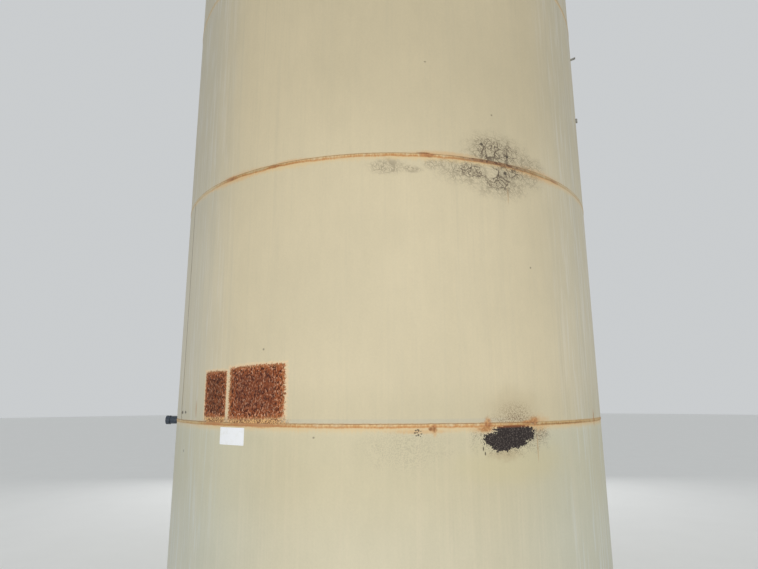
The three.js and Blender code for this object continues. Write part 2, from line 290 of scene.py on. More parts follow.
# %% Shell plates
UPPER_NOZZLE_HEIGHT = RIM_TOP - 0.237
OUTLET_HEIGHT = 10 * INCH
COUPLING_HEIGHT = 50 * INCH
UPPER_PIPE, OUTLET_PIPE, COUPLING_SLEEVE = 1.75 * INCH, 2.25 * INCH, 1.5 * INCH
SHELL_HOLES = {
    "plate_1_back": [(OUTLET_HEIGHT, OUTLET_PIPE), (COUPLING_HEIGHT, COUPLING_SLEEVE)],
    "plate_4_back": [(UPPER_NOZZLE_HEIGHT, UPPER_PIPE)],
}
DRILL_IN, DRILL_OUT = RADIUS - 0.1, RADIUS + 0.1


def thicken(piece, thickness, side=-1):
    """Gives a sheet its wall, inwards, or outwards where the side is 1."""
    return modify(piece, "SOLIDIFY", thickness=thickness, offset=side, use_even_offset=True)


def half_plate(name, low, high, joint, side):
    """One rolled plate of a course. The back one starts at its joint, and the front one half a turn later."""
    plate = upright(name, RADIUS, low, high, SHELL_STEPS, ends="NOTHING")
    kept_side = polar(joint + 90, side)
    drop_faces(plate, lambda place, face: place.dot(kept_side) < 0)
    thicken(plate, PLATE)
    for height, radius in SHELL_HOLES.get(name, []):
        drill(plate, radius, DRILL_IN, DRILL_OUT, height)
        merge_slivers(plate)
    return smooth(plate, 30)


shell_plates = []
for count, joint in enumerate(JOINTS):
    for side, half in ((1, "back"), (-1, "front")):
        plate = half_plate(f"plate_{count + 1}_{half}", SEAMS[count], SEAMS[count + 1], joint, side)
        shell_plates.append((plate, f"course_{count + 1}_{half}"))
print("shell plates:", len(shell_plates))

# %% [markdown]
# ## Weld beads
# A bead is about 18 mm wide and stands 2 to 3 mm proud, with the uneven ripple of a hand-held electrode. A
# torus as large as the shell is flattened towards the plate, and Displace with a fine clouds texture moves
# its skin by a few tenths of a millimetre. The upright joints get the same bead, as a thin bar cut into
# rings along its length.

# %% Girth beads
ripple = bpy.data.textures.new("bead_ripple", "CLOUDS")
ripple.noise_scale = 0.011
ripple.noise_depth = 2
BEAD_RIPPLE, FILLET_RIPPLE = 0.0009, 0.0012
FOOT_FILLET = 0.0059


def roughen(bead, strength):
    modify(bead, "DISPLACE", texture=ripple, texture_coords="LOCAL", strength=strength, mid_level=0.5)
    return smooth(bead, 60)


def hoop(name, radius, thickness, steps, place=(0, 0, 0), turn=(0, 0, 0)):
    clear()
    bpy.ops.mesh.primitive_torus_add(
        major_segments=steps,
        minor_segments=10,
        major_radius=radius,
        minor_radius=thickness,
        location=place,
        rotation=turn,
    )
    return named(name)


def ring_bead(name, height, half_width=BEAD_HALF, rise=BEAD_HEIGHT, steps=1200):
    bead = hoop(name, RADIUS, rise, steps, (0, 0, height))
    bpy.ops.transform.resize(value=(1, 1, half_width / rise))
    return roughen(settle(bead), BEAD_RIPPLE)


girth_beads = [(ring_bead(f"girth_bead_{count}", SEAMS[count]), f"girth_weld_{count}") for count in (1, 2, 3)]
girth_beads.append((ring_bead("rim_bead", SHELL_TOP), "rim_weld"))
girth_beads.append((ring_bead("foot_bead", PLATE, FOOT_FILLET, FOOT_FILLET, 720), "foot_weld"))
print("ring beads:", len(girth_beads))


# %% Upright beads
BEAD_RING_GAP = 0.014


def bar_bead(name, start, end, turn=Matrix(), half_width=BEAD_HALF, rise=BEAD_HEIGHT):
    """A bead between two places. Its flat side is turned by this matrix towards the plate."""
    length = (end - start).length
    clear()
    bpy.ops.mesh.primitive_cylinder_add(vertices=12, radius=rise, depth=length)
    bead = named(name)
    bpy.ops.transform.resize(value=(1, half_width / rise, 1))
    settle(bead)
    pick(bead, "EDGE", lambda place, edge: abs(place.z) < 0.1 * length)
    bpy.ops.mesh.subdivide(number_cuts=max(2, int(length / BEAD_RING_GAP)))
    clear()
    bead.data.transform(Matrix.Translation((start + end) / 2) @ turn)
    return roughen(bead, BEAD_RIPPLE)


upright_beads = []
for count, joint in enumerate(JOINTS):
    for end, angle in (("a", joint), ("b", joint + 180)):
        foot, head = (polar(angle, RADIUS, height) for height in SEAMS[count : count + 2])
        upright_beads.append(bar_bead(f"upright_bead_{count + 1}{end}", foot, head, turned(angle)))
print("upright beads:", len(upright_beads))

# %% [markdown]
# ## Roof
# The roof is a dished sheet in two halves: a straight flange, a knuckle where the sheet bends over, and a
# cone that rises about 10 cm. A circle is extruded upwards for the flange and then inwards, ring by ring,
# to the apex. Bevel rounds the knuckle. The halves are split on the X axis, thickened inwards and drilled
# for the manway and the vent.

# %% Roof halves
KNUCKLE = 1 * INCH
CONE_RISE = 0.098
MANWAY_DISTANCE, VENT_DISTANCE = 1.150, 1.050
MANWAY_PLACE, VENT_PLACE = (0, MANWAY_DISTANCE), polar(20, VENT_DISTANCE).xy
MANWAY_NECK = 20 * INCH / 2
VENT_BORE = 4.4 * INCH / 2
RING_SCALES = [0.985, 0.94, 0.88, 0.8, 0.7, 0.58, 0.44, 0.28, 0.12]
ABOVE_ROOF = RIM_TOP + 0.2


def roof_height(radius):
    return RIM_TOP + CONE_RISE * (1 - radius / (RADIUS - KNUCKLE))


def on_rim(place, edge):
    return place.xy.length > RADIUS - 0.003 and all(vert.co.z > RIM_TOP - 0.001 for vert in edge.verts)


def extrude_up(rise):
    bpy.ops.mesh.extrude_region_move(TRANSFORM_OT_translate={"value": (0, 0, rise)})


def whole_roof():
    clear()
    bpy.ops.mesh.primitive_circle_add(vertices=SHELL_STEPS, radius=RADIUS, location=(0, 0, SHELL_TOP))
    roof = settle(named("roof"))
    pick(roof, "EDGE")
    extrude_up(RIM_TOP - SHELL_TOP)
    height, last = RIM_TOP, 1.0
    for scale in RING_SCALES:
        extrude_up(roof_height(scale * RADIUS) - height)
        bpy.ops.transform.resize(value=(scale / last, scale / last, 1), center_override=(0, 0, 0))
        height, last = roof_height(scale * RADIUS), scale
    extrude_up(roof_height(0) - height)
    bpy.ops.mesh.merge(type="CENTER")
    round_edges(roof, on_rim, KNUCKLE * 0.8, 6)
    face_outwards(roof)
    return roof


def roof_half(roof, name, side):
    half = copy_of(roof, name)
    drop_faces(half, lambda place, face: place.y * side < 0)
    return thicken(half, PLATE)


roof = whole_roof()
roof_back = roof_half(roof, "roof_back_sheet", 1)
roof_front = roof_half(roof, "roof_front_sheet", -1)
bpy.data.objects.remove(roof)
drill_down(roof_back, MANWAY_NECK, SHELL_TOP, ABOVE_ROOF, 96, MANWAY_PLACE)
drill_down(roof_back, VENT_BORE, SHELL_TOP, ABOVE_ROOF, 48, VENT_PLACE)
for half in (roof_back, roof_front):
    smooth(half, 30)
print("roof halves:", len(roof_back.data.polygons), len(roof_front.data.polygons), "faces")

# %% [markdown]
# The bead across the roof is one straight bar up the slope, mirrored over the apex. The bar's own end face
# at the apex is taken out first, so that both halves close into one bead.

# %% Roof bead
BEAD_REACH = RADIUS - 0.040
slope = math.atan2(roof_height(0) - roof_height(BEAD_REACH), BEAD_REACH)
foot, apex = Vector((BEAD_REACH, 0, roof_height(BEAD_REACH))), Vector((0, 0, roof_height(0)))
roof_bead = bar_bead("roof_bead", foot, apex, turned(math.degrees(slope) - 90, "Y"))
drop_faces(roof_bead, lambda place, face: abs(place.x) < 0.004 and abs(face.normal.x) > 0.9, "ONLY_FACE")
modify(roof_bead, "MIRROR", use_axis=(True, False, False), merge_threshold=0.001)
face_outwards(roof_bead)
print("roof slope:", round(math.degrees(slope), 2), "degrees")

# %% [markdown]
# ## Bottom plate
# The flat bottom stands an inch out beyond the shell. A disc is added at its full size, and its rim is
# softened as a flame-cut and ground edge is.

# %% Bottom plate
bottom = upright("bottom_sheet", RADIUS + 1 * INCH, 0, PLATE, SHELL_STEPS)
pick(bottom, "FACE", lambda place, face: abs(face.normal.z) > 0.5)
bpy.ops.mesh.inset(thickness=0.02)
clear()
soften(bottom, 0.001)
print("bottom plate:", len(bottom.data.polygons), "faces")

# %% [markdown]
# ## Plates that follow the shell
# Doublers, pads and the tag are cut flat and then rolled to the shell's curve. The clean way to get that
# shape is to make a short piece of rolled wall in the right thickness, and keep only what it shares with a
# stamp that is pushed in from outside. A stamp with sloping sides leaves the fillet weld that runs round
# such a plate.

# %% Rolled wall and stamps
BEDDED = 0.0002
STAMP_OUT = 0.005


def rolled_wall(name, thickness, angle, reach, low, high, inner=RADIUS - BEDDED):
    """A piece of rolled wall that reaches so many degrees to both sides of a polar angle."""
    wall = upright(name, inner, low, high, SHELL_STEPS * 2, ends="NOTHING")
    outwards = polar(angle, 1).xy
    limit = math.cos(math.radians(reach))
    pick(wall, "FACE", lambda place, face: place.xy.normalized().dot(outwards) < limit)
    bpy.ops.mesh.delete(type="FACE")
    bpy.ops.mesh.select_all(action="SELECT")
    bpy.ops.mesh.subdivide(number_cuts=1)
    clear()
    return thicken(wall, thickness, 1)


def round_plate(name, radius, height, thickness, grow=0.0, flare=0.0, margin=1):
    """A round plate on the back. The flare is how much wider it is at its foot than 10 mm further out."""
    reach = math.degrees(radius / RADIUS) + margin
    wall = rolled_wall(name, thickness, BACK, reach, height - 2 * radius, height + 2 * radius)
    clear()
    bpy.ops.mesh.primitive_cone_add(
        vertices=72,
        radius1=radius + grow + flare,
        radius2=radius + grow - flare,
        depth=4 * STAMP_OUT,
        location=polar(BACK, RADIUS + STAMP_OUT, height),
        rotation=lying(BACK),
    )
    return combine(wall, settle(named("stamp")), "INTERSECT")


def round_pad(name, radius, height, hole):
    return drill(round_plate(name, radius, height, PLATE + BEDDED), hole, DRILL_IN, DRILL_OUT, height)


def pad_fillet(name, radius, height):
    weld = round_plate(name, radius, height, PLATE - 0.001, grow=0.0025, flare=0.007, margin=2)
    return smooth(merge_slivers(weld), 50)


print("drills reach from", round(DRILL_IN, 3), "to", round(DRILL_OUT, 3), "m")

# %% [markdown]
# ## Lifting lugs
# Two lugs stand on the rim, opposite each other. Each is a 1/2 in plate with clipped top corners and a
# shackle hole, and below each a rounded doubler is welded to the shell. The lug starts as a flat box. Two
# bisect cuts take off its corners, the corners left are rounded, and the hole is drilled.

# %% Lug
LUG_WIDTH, LUG_HEIGHT, LUG_TOP, LUG_SHOULDER = 0.165, 0.222, 0.070, 0.122
LUG_THICKNESS = 0.5 * INCH
LUG_HOLE, LUG_HOLE_HEIGHT = 0.030, 0.150
LUG_FOOT = SHELL_TOP + BEAD_HALF + 0.002
LUG_CORNER = 0.012
LUG_DRILL = (RADIUS - 0.05, RADIUS + 0.05)
LUG_ANGLES = [40.0, -140.0]


def upright_box(name, inner, outer, half_width, low, high):
    """A box that faces +X, from one radius to another."""
    clear()
    bpy.ops.mesh.primitive_cube_add(size=1, location=((inner + outer) / 2, 0, (low + high) / 2))
    box = named(name)
    box.scale = (outer - inner, 2 * half_width, high - low)
    return settle(box)


def x_run(edge):
    return abs(edge.verts[0].co.x - edge.verts[1].co.x)


def clipped_lug():
    inner = RADIUS + 0.0003
    shoulder = LUG_FOOT + LUG_SHOULDER
    lug = upright_box("lug", inner, inner + LUG_THICKNESS, LUG_WIDTH / 2, LUG_FOOT, LUG_FOOT + LUG_HEIGHT)
    for side in (1, -1):
        pick(lug, "FACE")
        bpy.ops.mesh.bisect(
            plane_co=(0, side * LUG_WIDTH / 2, shoulder),
            plane_no=(0, side * (LUG_HEIGHT - LUG_SHOULDER), (LUG_WIDTH - LUG_TOP) / 2),
            use_fill=True,
            clear_outer=True,
        )
    round_edges(lug, lambda place, edge: place.z > shoulder - 0.01 and x_run(edge) > 0.01, LUG_CORNER, 4)
    drill(lug, LUG_HOLE, *LUG_DRILL, LUG_FOOT + LUG_HOLE_HEIGHT, 48, angle=0)
    return soften(lug, 0.0012)


lug = clipped_lug()
print("lug:", len(lug.data.polygons), "faces")

# %% Lug doubler and its weld
PAD_WIDTH, PAD_HEIGHT, PAD_CORNER = 0.356, 0.100, 0.070
PAD_TOP = SHELL_TOP - BEAD_HALF - 0.0003
PAD_WELD = 0.006


def plate_stamp(half_width, low, high, corner, steps, below=math.inf):
    """A stamp that faces +X, with all its corners rounded, or only those below a height."""
    stamp = upright_box("stamp", DRILL_IN, DRILL_OUT, half_width, low, high)
    round_edges(stamp, lambda place, edge: place.z < below and x_run(edge) > 0.1, corner, steps)
    return stamp


def lug_doubler(name, thickness, grow=0.0):
    wall = rolled_wall(name, thickness, 0, 8, PAD_TOP - 0.15, PAD_TOP)
    low = PAD_TOP - PAD_HEIGHT - grow
    stamp = plate_stamp(PAD_WIDTH / 2 + grow, low, PAD_TOP + 0.01, PAD_CORNER + grow, 14, PAD_TOP - 0.05)
    return combine(wall, stamp, "INTERSECT")


doubler = soften(lug_doubler("doubler", PLATE + BEDDED))
doubler_weld = soften(lug_doubler("doubler_weld", PLATE * 0.6, PAD_WELD), 0.002, 3)
print("doubler:", len(doubler.data.polygons), "faces")

# %% [markdown]
# The lug is flat and the rim is round, so a fillet fills the gap down both sides and along the foot. The
# finished set is made once, facing +X, and then copied and turned to both places.

# %% Lug fillets, and both sets in place
LUG_FILLET = {"half_width": 0.005, "rise": 0.006}
fillet_ends = (LUG_FOOT, RIM_TOP - 0.008)
fillets = []
for side in (1, -1):
    beside = side * (LUG_WIDTH / 2 + 0.002)
    low, high = (Vector((RADIUS, beside, height)) for height in fillet_ends)
    fillets.append(bar_bead("side", low, high, **LUG_FILLET))
start, end = (Vector((RADIUS + 0.002, side * abs(beside), LUG_FOOT)) for side in (-1, 1))
fillets.append(bar_bead("foot", start, end, turned(-90, "X"), **LUG_FILLET))
lug_fillet = join(fillets, "lug_fillet")

lug_parts = [
    (lug, "lug_plate", "lifting_lug"),
    (doubler, "lug_doubler", "lug_pad"),
    (lug_fillet, "lug_plate_weld", None),
    (doubler_weld, "lug_doubler_weld", None),
]
lug_plates, lug_welds = [], []
for count, angle in enumerate(LUG_ANGLES, 1):
    for piece, name, node in lug_parts:
        placed = copy_of(piece, f"{name}_{count}", turned(angle))
        if node:
            lug_plates.append((placed, f"{node}_{count}"))
        else:
            lug_welds.append(placed)
for piece, name, node in lug_parts:
    bpy.data.objects.remove(piece)
print("lug pieces:", len(lug_plates) + len(lug_welds))

# %% [markdown]
# ## Flanges
# A slip-on flange is a thick round plate with a bore, a raised face and a ring of bolt holes. It starts as
# a solid cylinder. A ring is cut off its face outside the raised part, and the bore and the holes are
# drilled, the holes with one joined tool. Every nozzle on this tank is open, so its holes stay empty. The
# neck is a tube that passes through the shell, with a fillet weld at both ends.

# %% Nozzles
FACE = RADIUS + 6 * INCH
RAISED_BY = 0.0016
BOLT_HOLES = 8


def bolt_drill(circle, hole, height):
    """One tool for all the bolt holes of a flange."""
    tools = []
    for step in range(BOLT_HOLES):
        angle = 2 * math.pi * (step + 0.5) / BOLT_HOLES
        across, up = circle * math.cos(angle), circle * math.sin(angle)
        tools.append(radial("hole", hole, FACE - 0.1, FACE + 0.1, height + up, 24, across=across))
    return join(tools, "tool")


def nozzle_flange(name, height, pipe, thickness, outer, raised, circle, hole):
    flange = radial(name, outer, FACE - thickness, FACE, height, 96)
    rim = radial("rim", outer + 0.01, FACE - RAISED_BY, FACE + 0.01, height, 96)
    drill(rim, raised, FACE - 0.02, FACE + 0.02, height, 96)
    combine(flange, rim)
    drill(flange, pipe, FACE - 0.1, FACE + 0.1, height)
    combine(flange, bolt_drill(circle, hole, height))
    return soften(flange, 0.0009)


def tube(name, outer, bore, near, far, height):
    pipe = radial(name, outer, near, far, height)
    return soften(drill(pipe, bore, near - 0.01, far + 0.01, height))


def ring_fillet(name, radius, distance, height, size=0.0055, angle=BACK):
    """A fillet weld round a pipe, standing on the plate at this distance from the axis."""
    weld = hoop(name, radius, size, 120, polar(angle, distance, height), lying(angle))
    return roughen(settle(weld), FILLET_RIPPLE)


NECK_ENDS = (RADIUS - 0.05, FACE - 0.004)
UPPER_THICKNESS, OUTLET_THICKNESS = 1 * INCH, 0.94 * INCH
UPPER = {"outer": 5.5 * INCH, "raised": 2.5 * INCH, "circle": 0.12065, "hole": 0.0111}
OUTLET = {"outer": 4.5 * INCH, "raised": 3.05 * INCH, "circle": 0.09525, "hole": 0.0095}

upper_flange = nozzle_flange("upper_nozzle_plate", UPPER_NOZZLE_HEIGHT, UPPER_PIPE, UPPER_THICKNESS, **UPPER)
upper_neck = tube("upper_nozzle_pipe", UPPER_PIPE, 1.535 * INCH, *NECK_ENDS, UPPER_NOZZLE_HEIGHT)
outlet_flange = nozzle_flange("outlet_plate", OUTLET_HEIGHT, OUTLET_PIPE, OUTLET_THICKNESS, **OUTLET)
outlet_neck = tube("outlet_pipe", OUTLET_PIPE, 2.015 * INCH, *NECK_ENDS, OUTLET_HEIGHT)
nozzle_welds = [
    ring_fillet("upper_nozzle_shell_weld", UPPER_PIPE, RADIUS + 0.0005, UPPER_NOZZLE_HEIGHT),
    ring_fillet("upper_nozzle_flange_weld", UPPER_PIPE, FACE - UPPER_THICKNESS, UPPER_NOZZLE_HEIGHT),
    ring_fillet("outlet_shell_weld", OUTLET_PIPE, RADIUS + PLATE, OUTLET_HEIGHT),
    ring_fillet("outlet_flange_weld", OUTLET_PIPE, FACE - OUTLET_THICKNESS, OUTLET_HEIGHT),
]
print("nozzles on the back:", upper_flange.name, outlet_flange.name)

# %% [markdown]
# ## Pads, coupling and plug
# The outlet and the lower coupling pass through round reinforcing pads. The larger pad has a small tell-
# tale hole. The coupling is a short thick sleeve with a plug screwed in, and a square socket in the plug
# takes the key.

# %% Pads and coupling
OUTLET_PAD, COUPLING_PAD = 4.5 * INCH, 6 * INCH
TELL_TALE, TELL_TALE_ACROSS = 0.0038, 0.075
COUPLING_BORE, PLUG_RADIUS, SOCKET = 1.15 * INCH, 1.149 * INCH, 0.017
SLEEVE_END, SLEEVE_FACE = RADIUS - 1 * INCH, RADIUS + 1.1 * INCH

outlet_pad = soften(round_pad("outlet_round_pad", OUTLET_PAD, OUTLET_HEIGHT, OUTLET_PIPE))
coupling_pad = round_pad("coupling_round_pad", COUPLING_PAD, COUPLING_HEIGHT, COUPLING_SLEEVE)
drill(coupling_pad, TELL_TALE, RADIUS - 0.001, DRILL_OUT, COUPLING_HEIGHT, 24, across=TELL_TALE_ACROSS)
soften(coupling_pad)
pad_welds = [
    pad_fillet("outlet_pad_weld", OUTLET_PAD, OUTLET_HEIGHT),
    pad_fillet("coupling_pad_weld", COUPLING_PAD, COUPLING_HEIGHT),
    ring_fillet("coupling_weld", COUPLING_SLEEVE, RADIUS + PLATE, COUPLING_HEIGHT, 0.005),
]
coupling = tube("coupling_sleeve", COUPLING_SLEEVE, COUPLING_BORE, SLEEVE_END, SLEEVE_FACE, COUPLING_HEIGHT)
plug = radial("coupling_screw_plug", PLUG_RADIUS, SLEEVE_FACE - 0.025, SLEEVE_FACE - 0.003, COUPLING_HEIGHT)
soften(drill(plug, SOCKET, SLEEVE_FACE - 0.018, SLEEVE_FACE + 0.02, COUPLING_HEIGHT, 4))
print("pads and coupling done")

# %% [markdown]
# ## Manway
# A 20 in neck stands on the roof beside the rim, with a flange and a bolted cover. The neck is a turned
# tube that passes through the roof. One hexagon bolt is modelled, with its chamfered head, shank and nut,
# and copied round the circle.

# %% Manway neck, flange and cover
FLANGE_THICKNESS = 0.5 * INCH
FLANGE_TOP = RIM_TOP + 0.286 - FLANGE_THICKNESS
FLANGE_UNDER = FLANGE_TOP - FLANGE_THICKNESS
FLANGE_OUTER = 12 * INCH
GASKET = 0.0016
COVER_TOP = FLANGE_TOP + 0.25 * INCH
neck_low = roof_height(MANWAY_DISTANCE + MANWAY_NECK) - PLATE - 1 * INCH


def manway_ring(name, outer, bore, low, high):
    ring = upright(name, outer, low, high, 128, MANWAY_PLACE)
    return drill_down(ring, bore, low - 0.01, high + 0.01, 128, MANWAY_PLACE)


manway_neck = soften(manway_ring("manway_tube", MANWAY_NECK, MANWAY_NECK - PLATE, neck_low, FLANGE_TOP))
manway_flange = manway_ring("manway_ring", FLANGE_OUTER, MANWAY_NECK, FLANGE_UNDER, FLANGE_TOP - GASKET)
soften(manway_flange, 0.0012)
gasket = manway_ring("manway_gasket", FLANGE_OUTER - 0.004, MANWAY_NECK, FLANGE_TOP - GASKET, FLANGE_TOP)
smooth(gasket)
cover = upright("manway_lid", FLANGE_OUTER, FLANGE_TOP, COVER_TOP, 128, MANWAY_PLACE)
pick(cover, "FACE", lambda place, face: face.normal.z > 0.9)
bpy.ops.mesh.inset(thickness=0.05)
clear()
soften(cover, 0.0012)
print("manway cover at", round(COVER_TOP, 4), "m")

# %% Manway bolts
BOLT_CIRCLE = 11.1 * INCH
BOLT_COUNT = 20
BOLT_FLATS, BOLT_HEAD, BOLT_NUT, BOLT_SHANK = 0.0095, 0.0062, 0.011, 0.0062
BOLT_CHAMFER = 0.0009
BOLT_TWIST = math.degrees(0.7)


def hexagon(name, low, high, outer_end):
    """A bolt's head or nut, chamfered round its outer end."""
    nut = upright(name, BOLT_FLATS / math.cos(math.pi / 6), low, high, 6)

    def at_outer_end(place, edge):
        return all(abs(vert.co.z - outer_end) < 1e-5 for vert in edge.verts)

    round_edges(nut, at_outer_end, BOLT_CHAMFER, 1)
    return nut


def manway_bolt():
    head_top, nut_low = COVER_TOP + BOLT_HEAD, FLANGE_UNDER - BOLT_NUT
    bolt = [
        hexagon("head", COVER_TOP, head_top, head_top),
        hexagon("nut", nut_low, FLANGE_UNDER, nut_low),
        upright("shank", BOLT_SHANK, nut_low - 0.005, COVER_TOP, 16),
    ]
    return smooth(join(bolt, "manway_bolt"), 30)


first_bolt = manway_bolt()
bolts = []
for step in range(BOLT_COUNT):
    angle = 360 / BOLT_COUNT * step
    place = Matrix.Translation(Vector((*MANWAY_PLACE, 0)) + polar(angle, BOLT_CIRCLE))
    twist = turned(angle + BOLT_TWIST * (step % 5))
    bolts.append(copy_of(first_bolt, f"manway_bolt_{step + 1:02d}", place @ twist))
bpy.data.objects.remove(first_bolt)
print("manway bolts:", len(bolts))


# %% Manway welds
def upright_fillet(name, radius, place, height, tilt=0.0, size=0.006):
    """A fillet weld round an upright pipe. The tilt lays it on the slope of the roof, away from the axis."""
    weld = hoop(name, radius, size, 160)
    outwards = Vector((*place, 0)).normalized()
    side = Vector((-outwards.y, outwards.x, 0))
    weld.data.transform(Matrix.Translation((*place, height)) @ Matrix.Rotation(tilt, 4, side))
    return roughen(weld, FILLET_RIPPLE)


manway_foot = roof_height(MANWAY_DISTANCE) - 0.001
manway_welds = [
    upright_fillet("manway_roof_weld", MANWAY_NECK, MANWAY_PLACE, manway_foot, slope, 0.007),
    upright_fillet("manway_flange_weld", MANWAY_NECK, MANWAY_PLACE, FLANGE_UNDER),
]
print("manway welds:", len(manway_welds))

# %% [markdown]
# ## Vent coupling and plug
# A large half coupling is welded to the roof and closed by a cast plug with a square head. The sleeve is
# turned. The plug's head is a box drawn in towards its top, as a cast one is, and its body carries the
# thread.

# %% Vent
VENT_OUTER = 5.5 * INCH / 2
VENT_FOOT = roof_height(VENT_DISTANCE)
VENT_TOP = VENT_FOOT + 0.095
HEAD_SIDE, HEAD_RISE, HEAD_DRAW = 2 * INCH, 0.030, 0.9

vent_sleeve = upright("vent_sleeve", VENT_OUTER, VENT_FOOT - 0.006, VENT_TOP, 64, VENT_PLACE)
soften(drill_down(vent_sleeve, VENT_BORE, SHELL_TOP, ABOVE_ROOF, 64, VENT_PLACE), 0.0015, 3)
vent_body = upright("vent_body", VENT_BORE - 0.0002, VENT_TOP - 0.030, VENT_TOP - 0.004, 64, VENT_PLACE)
soften(vent_body, 0.0015)
clear()
bpy.ops.mesh.primitive_cube_add(size=HEAD_SIDE, location=(*VENT_PLACE, VENT_TOP + HEAD_RISE - HEAD_SIDE / 2))
vent_head = settle(named("vent_head"))
pick(vent_head, "FACE", lambda place, face: face.normal.z > 0.9)
bpy.ops.transform.resize(value=(HEAD_DRAW, HEAD_DRAW, 1), center_override=(*VENT_PLACE, 0))
clear()
soften(vent_head, 0.003, 3)
vent_plug = join([vent_body, vent_head], "vent_screw_plug")
vent_weld = upright_fillet("vent_weld", VENT_OUTER, VENT_PLACE, VENT_FOOT, slope)
print("vent top:", round(VENT_TOP, 3), "m")

# %% [markdown]
# ## Capped nipple
# At the left outline, at the lowest seam, a short 2 in pipe sticks out, closed by a cap and painted dark
# blue-grey. The cap has a rolled collar at its mouth and a rounded end, so it is a cylinder with two edge
# loops pulled in and its end bevelled. Both reach just as far as their CAD nodes do.

# %% Nipple and cap
NIPPLE_ANGLE = 180.0
NIPPLE_HEIGHT = PLATE + 1.503
NIPPLE_RADIUS, CAP_RADIUS = 2.375 * INCH / 2, 2.75 * INCH / 2
CAP_BANDS, CAP_BAND_DRAW = (0.35, 0.75), 0.965

nipple_end = -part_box("side_nipple")[0].x
cap_end, cap_start = (-corner.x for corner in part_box("side_cap"))
nipple = radial("nipple_pipe", NIPPLE_RADIUS, RADIUS - 0.004, nipple_end, NIPPLE_HEIGHT, angle=NIPPLE_ANGLE)
soften(nipple)
cap = radial("nipple_cap", CAP_RADIUS, cap_start, cap_end, NIPPLE_HEIGHT, angle=NIPPLE_ANGLE)
pick(cap, "EDGE", lambda place, edge: x_run(edge) > 0.01)
bpy.ops.mesh.subdivide(number_cuts=6)
for band in CAP_BANDS:
    at = -(cap_start + band * (cap_end - cap_start))
    centre = Vector((at, 0, NIPPLE_HEIGHT))
    pick(cap, "VERT", lambda place, vert: abs(place.x - at) < 0.003 and (place - centre).length > 0.03)
    bpy.ops.transform.resize(value=(1, CAP_BAND_DRAW, CAP_BAND_DRAW), center_override=centre)
clear()
soften(cap, 0.003, 4)
nipple_weld = ring_fillet("nipple_weld", NIPPLE_RADIUS, RADIUS + 0.001, NIPPLE_HEIGHT, angle=NIPPLE_ANGLE)
print("nipple reaches", round(cap_end - RADIUS, 4), "m out")

# %% [markdown]
# ## Clips
# Two small clips are left on the right side. The upper one is a thin strap end that rises a little, and the
# lower one a short block. Both are boxes of bare grey steel with softened edges.

# %% Clips
CLIP_ANGLE = -20.0


def clip(name, low, high, half_width, reach, rise):
    box = upright_box(name, RADIUS - 0.002, RADIUS + reach, half_width, low, high)
    pick(box, "FACE", lambda place, face: face.normal.x > 0.9)
    bpy.ops.transform.translate(value=(0, 0, rise))
    clear()
    box.data.transform(turned(CLIP_ANGLE))
    return soften(box, 0.0012, 3)


upper_clip = clip("upper_strap_end", 4.362, 4.368, half_width=0.0125, reach=0.038, rise=0.010)
lower_clip = clip("lower_block", 3.810, 3.840, half_width=0.010, reach=0.014, rise=0.0)
print("clips:", upper_clip.name, lower_clip.name)

# %% [markdown]
# ## Tag
# A white self-adhesive tag sits just under the lowest seam. It is a thin piece of rolled wall, cut by a box
# with rounded corners. It stays blank.

# %% Blank tag
TAG_LEFT, TAG_RIGHT, TAG_LOW, TAG_HIGH = -1.0712, -0.8692, 1.4158, 1.5122
TAG_CORNER, TAG_THICKNESS = 0.004, 0.0007
tag_angle = FRONT + math.degrees((TAG_LEFT + TAG_RIGHT) / 2 / RADIUS)
tag_stamp = plate_stamp((TAG_RIGHT - TAG_LEFT) / 2, TAG_LOW, TAG_HIGH, TAG_CORNER, 4)
tag_stamp.data.transform(turned(tag_angle))
tag = rolled_wall("blank_tag", TAG_THICKNESS, tag_angle, 5, TAG_LOW - 0.05, TAG_HIGH + 0.05, RADIUS + 0.0001)
smooth(combine(tag, tag_stamp, "INTERSECT"), 30)
print("tag:", round(TAG_RIGHT - TAG_LEFT, 3), "by", round(TAG_HIGH - TAG_LOW, 3), "m")

# %% [markdown]
# # Finishes
# ## Wiring nodes in code
# A material is a chain of small steps, and a few helpers keep them readable. They all work in one tree, the
# group or material that was begun last. One wires a value or another node's output into a socket, and the
# rest add the nodes that come up most. Colours are written as they look on screen, from 0 to 255, and
# turned into the shader's linear values.

# %% Node helpers
def linear(red, green, blue):
    def one(value):
        value /= 255
        return value / 12.92 if value <= 0.04045 else ((value + 0.055) / 1.055) ** 2.4

    return (one(red), one(green), one(blue), 1.0)


def wire(socket, value):
    if isinstance(value, bpy.types.NodeSocket):
        tree.links.new(value, socket)
    else:
        socket.default_value = value


def add(kind, inputs=(), **settings):
    made = tree.nodes.new("ShaderNode" + kind)
    made.location = (180 * (len(tree.nodes) % 12), -220 * (len(tree.nodes) // 12))
    for key, value in settings.items():
        setattr(made, key, value)
    for key, value in dict(inputs).items():
        wire(made.inputs[key], value)
    return made


def calc(operation, *values):
    return add("Math", enumerate(values), operation=operation).outputs[0]


def times(first, second):
    return calc("MULTIPLY", first, second)


def times_plus(value, factor, plus):
    return calc("MULTIPLY_ADD", value, factor, plus)


def minus(first, second):
    return calc("SUBTRACT", first, second)


def larger(first, second):
    return calc("MAXIMUM", first, second)


def apart(first, second):
    return calc("ABSOLUTE", minus(first, second))


def vector_calc(operation, *values):
    made = add("VectorMath", enumerate(values), operation=operation)
    return made.outputs["Value" if operation in ("LENGTH", "DOT_PRODUCT") else "Vector"]


def vector(x=0.0, y=0.0, z=0.0):
    return add("CombineXYZ", {0: x, 1: y, 2: z}).outputs[0]


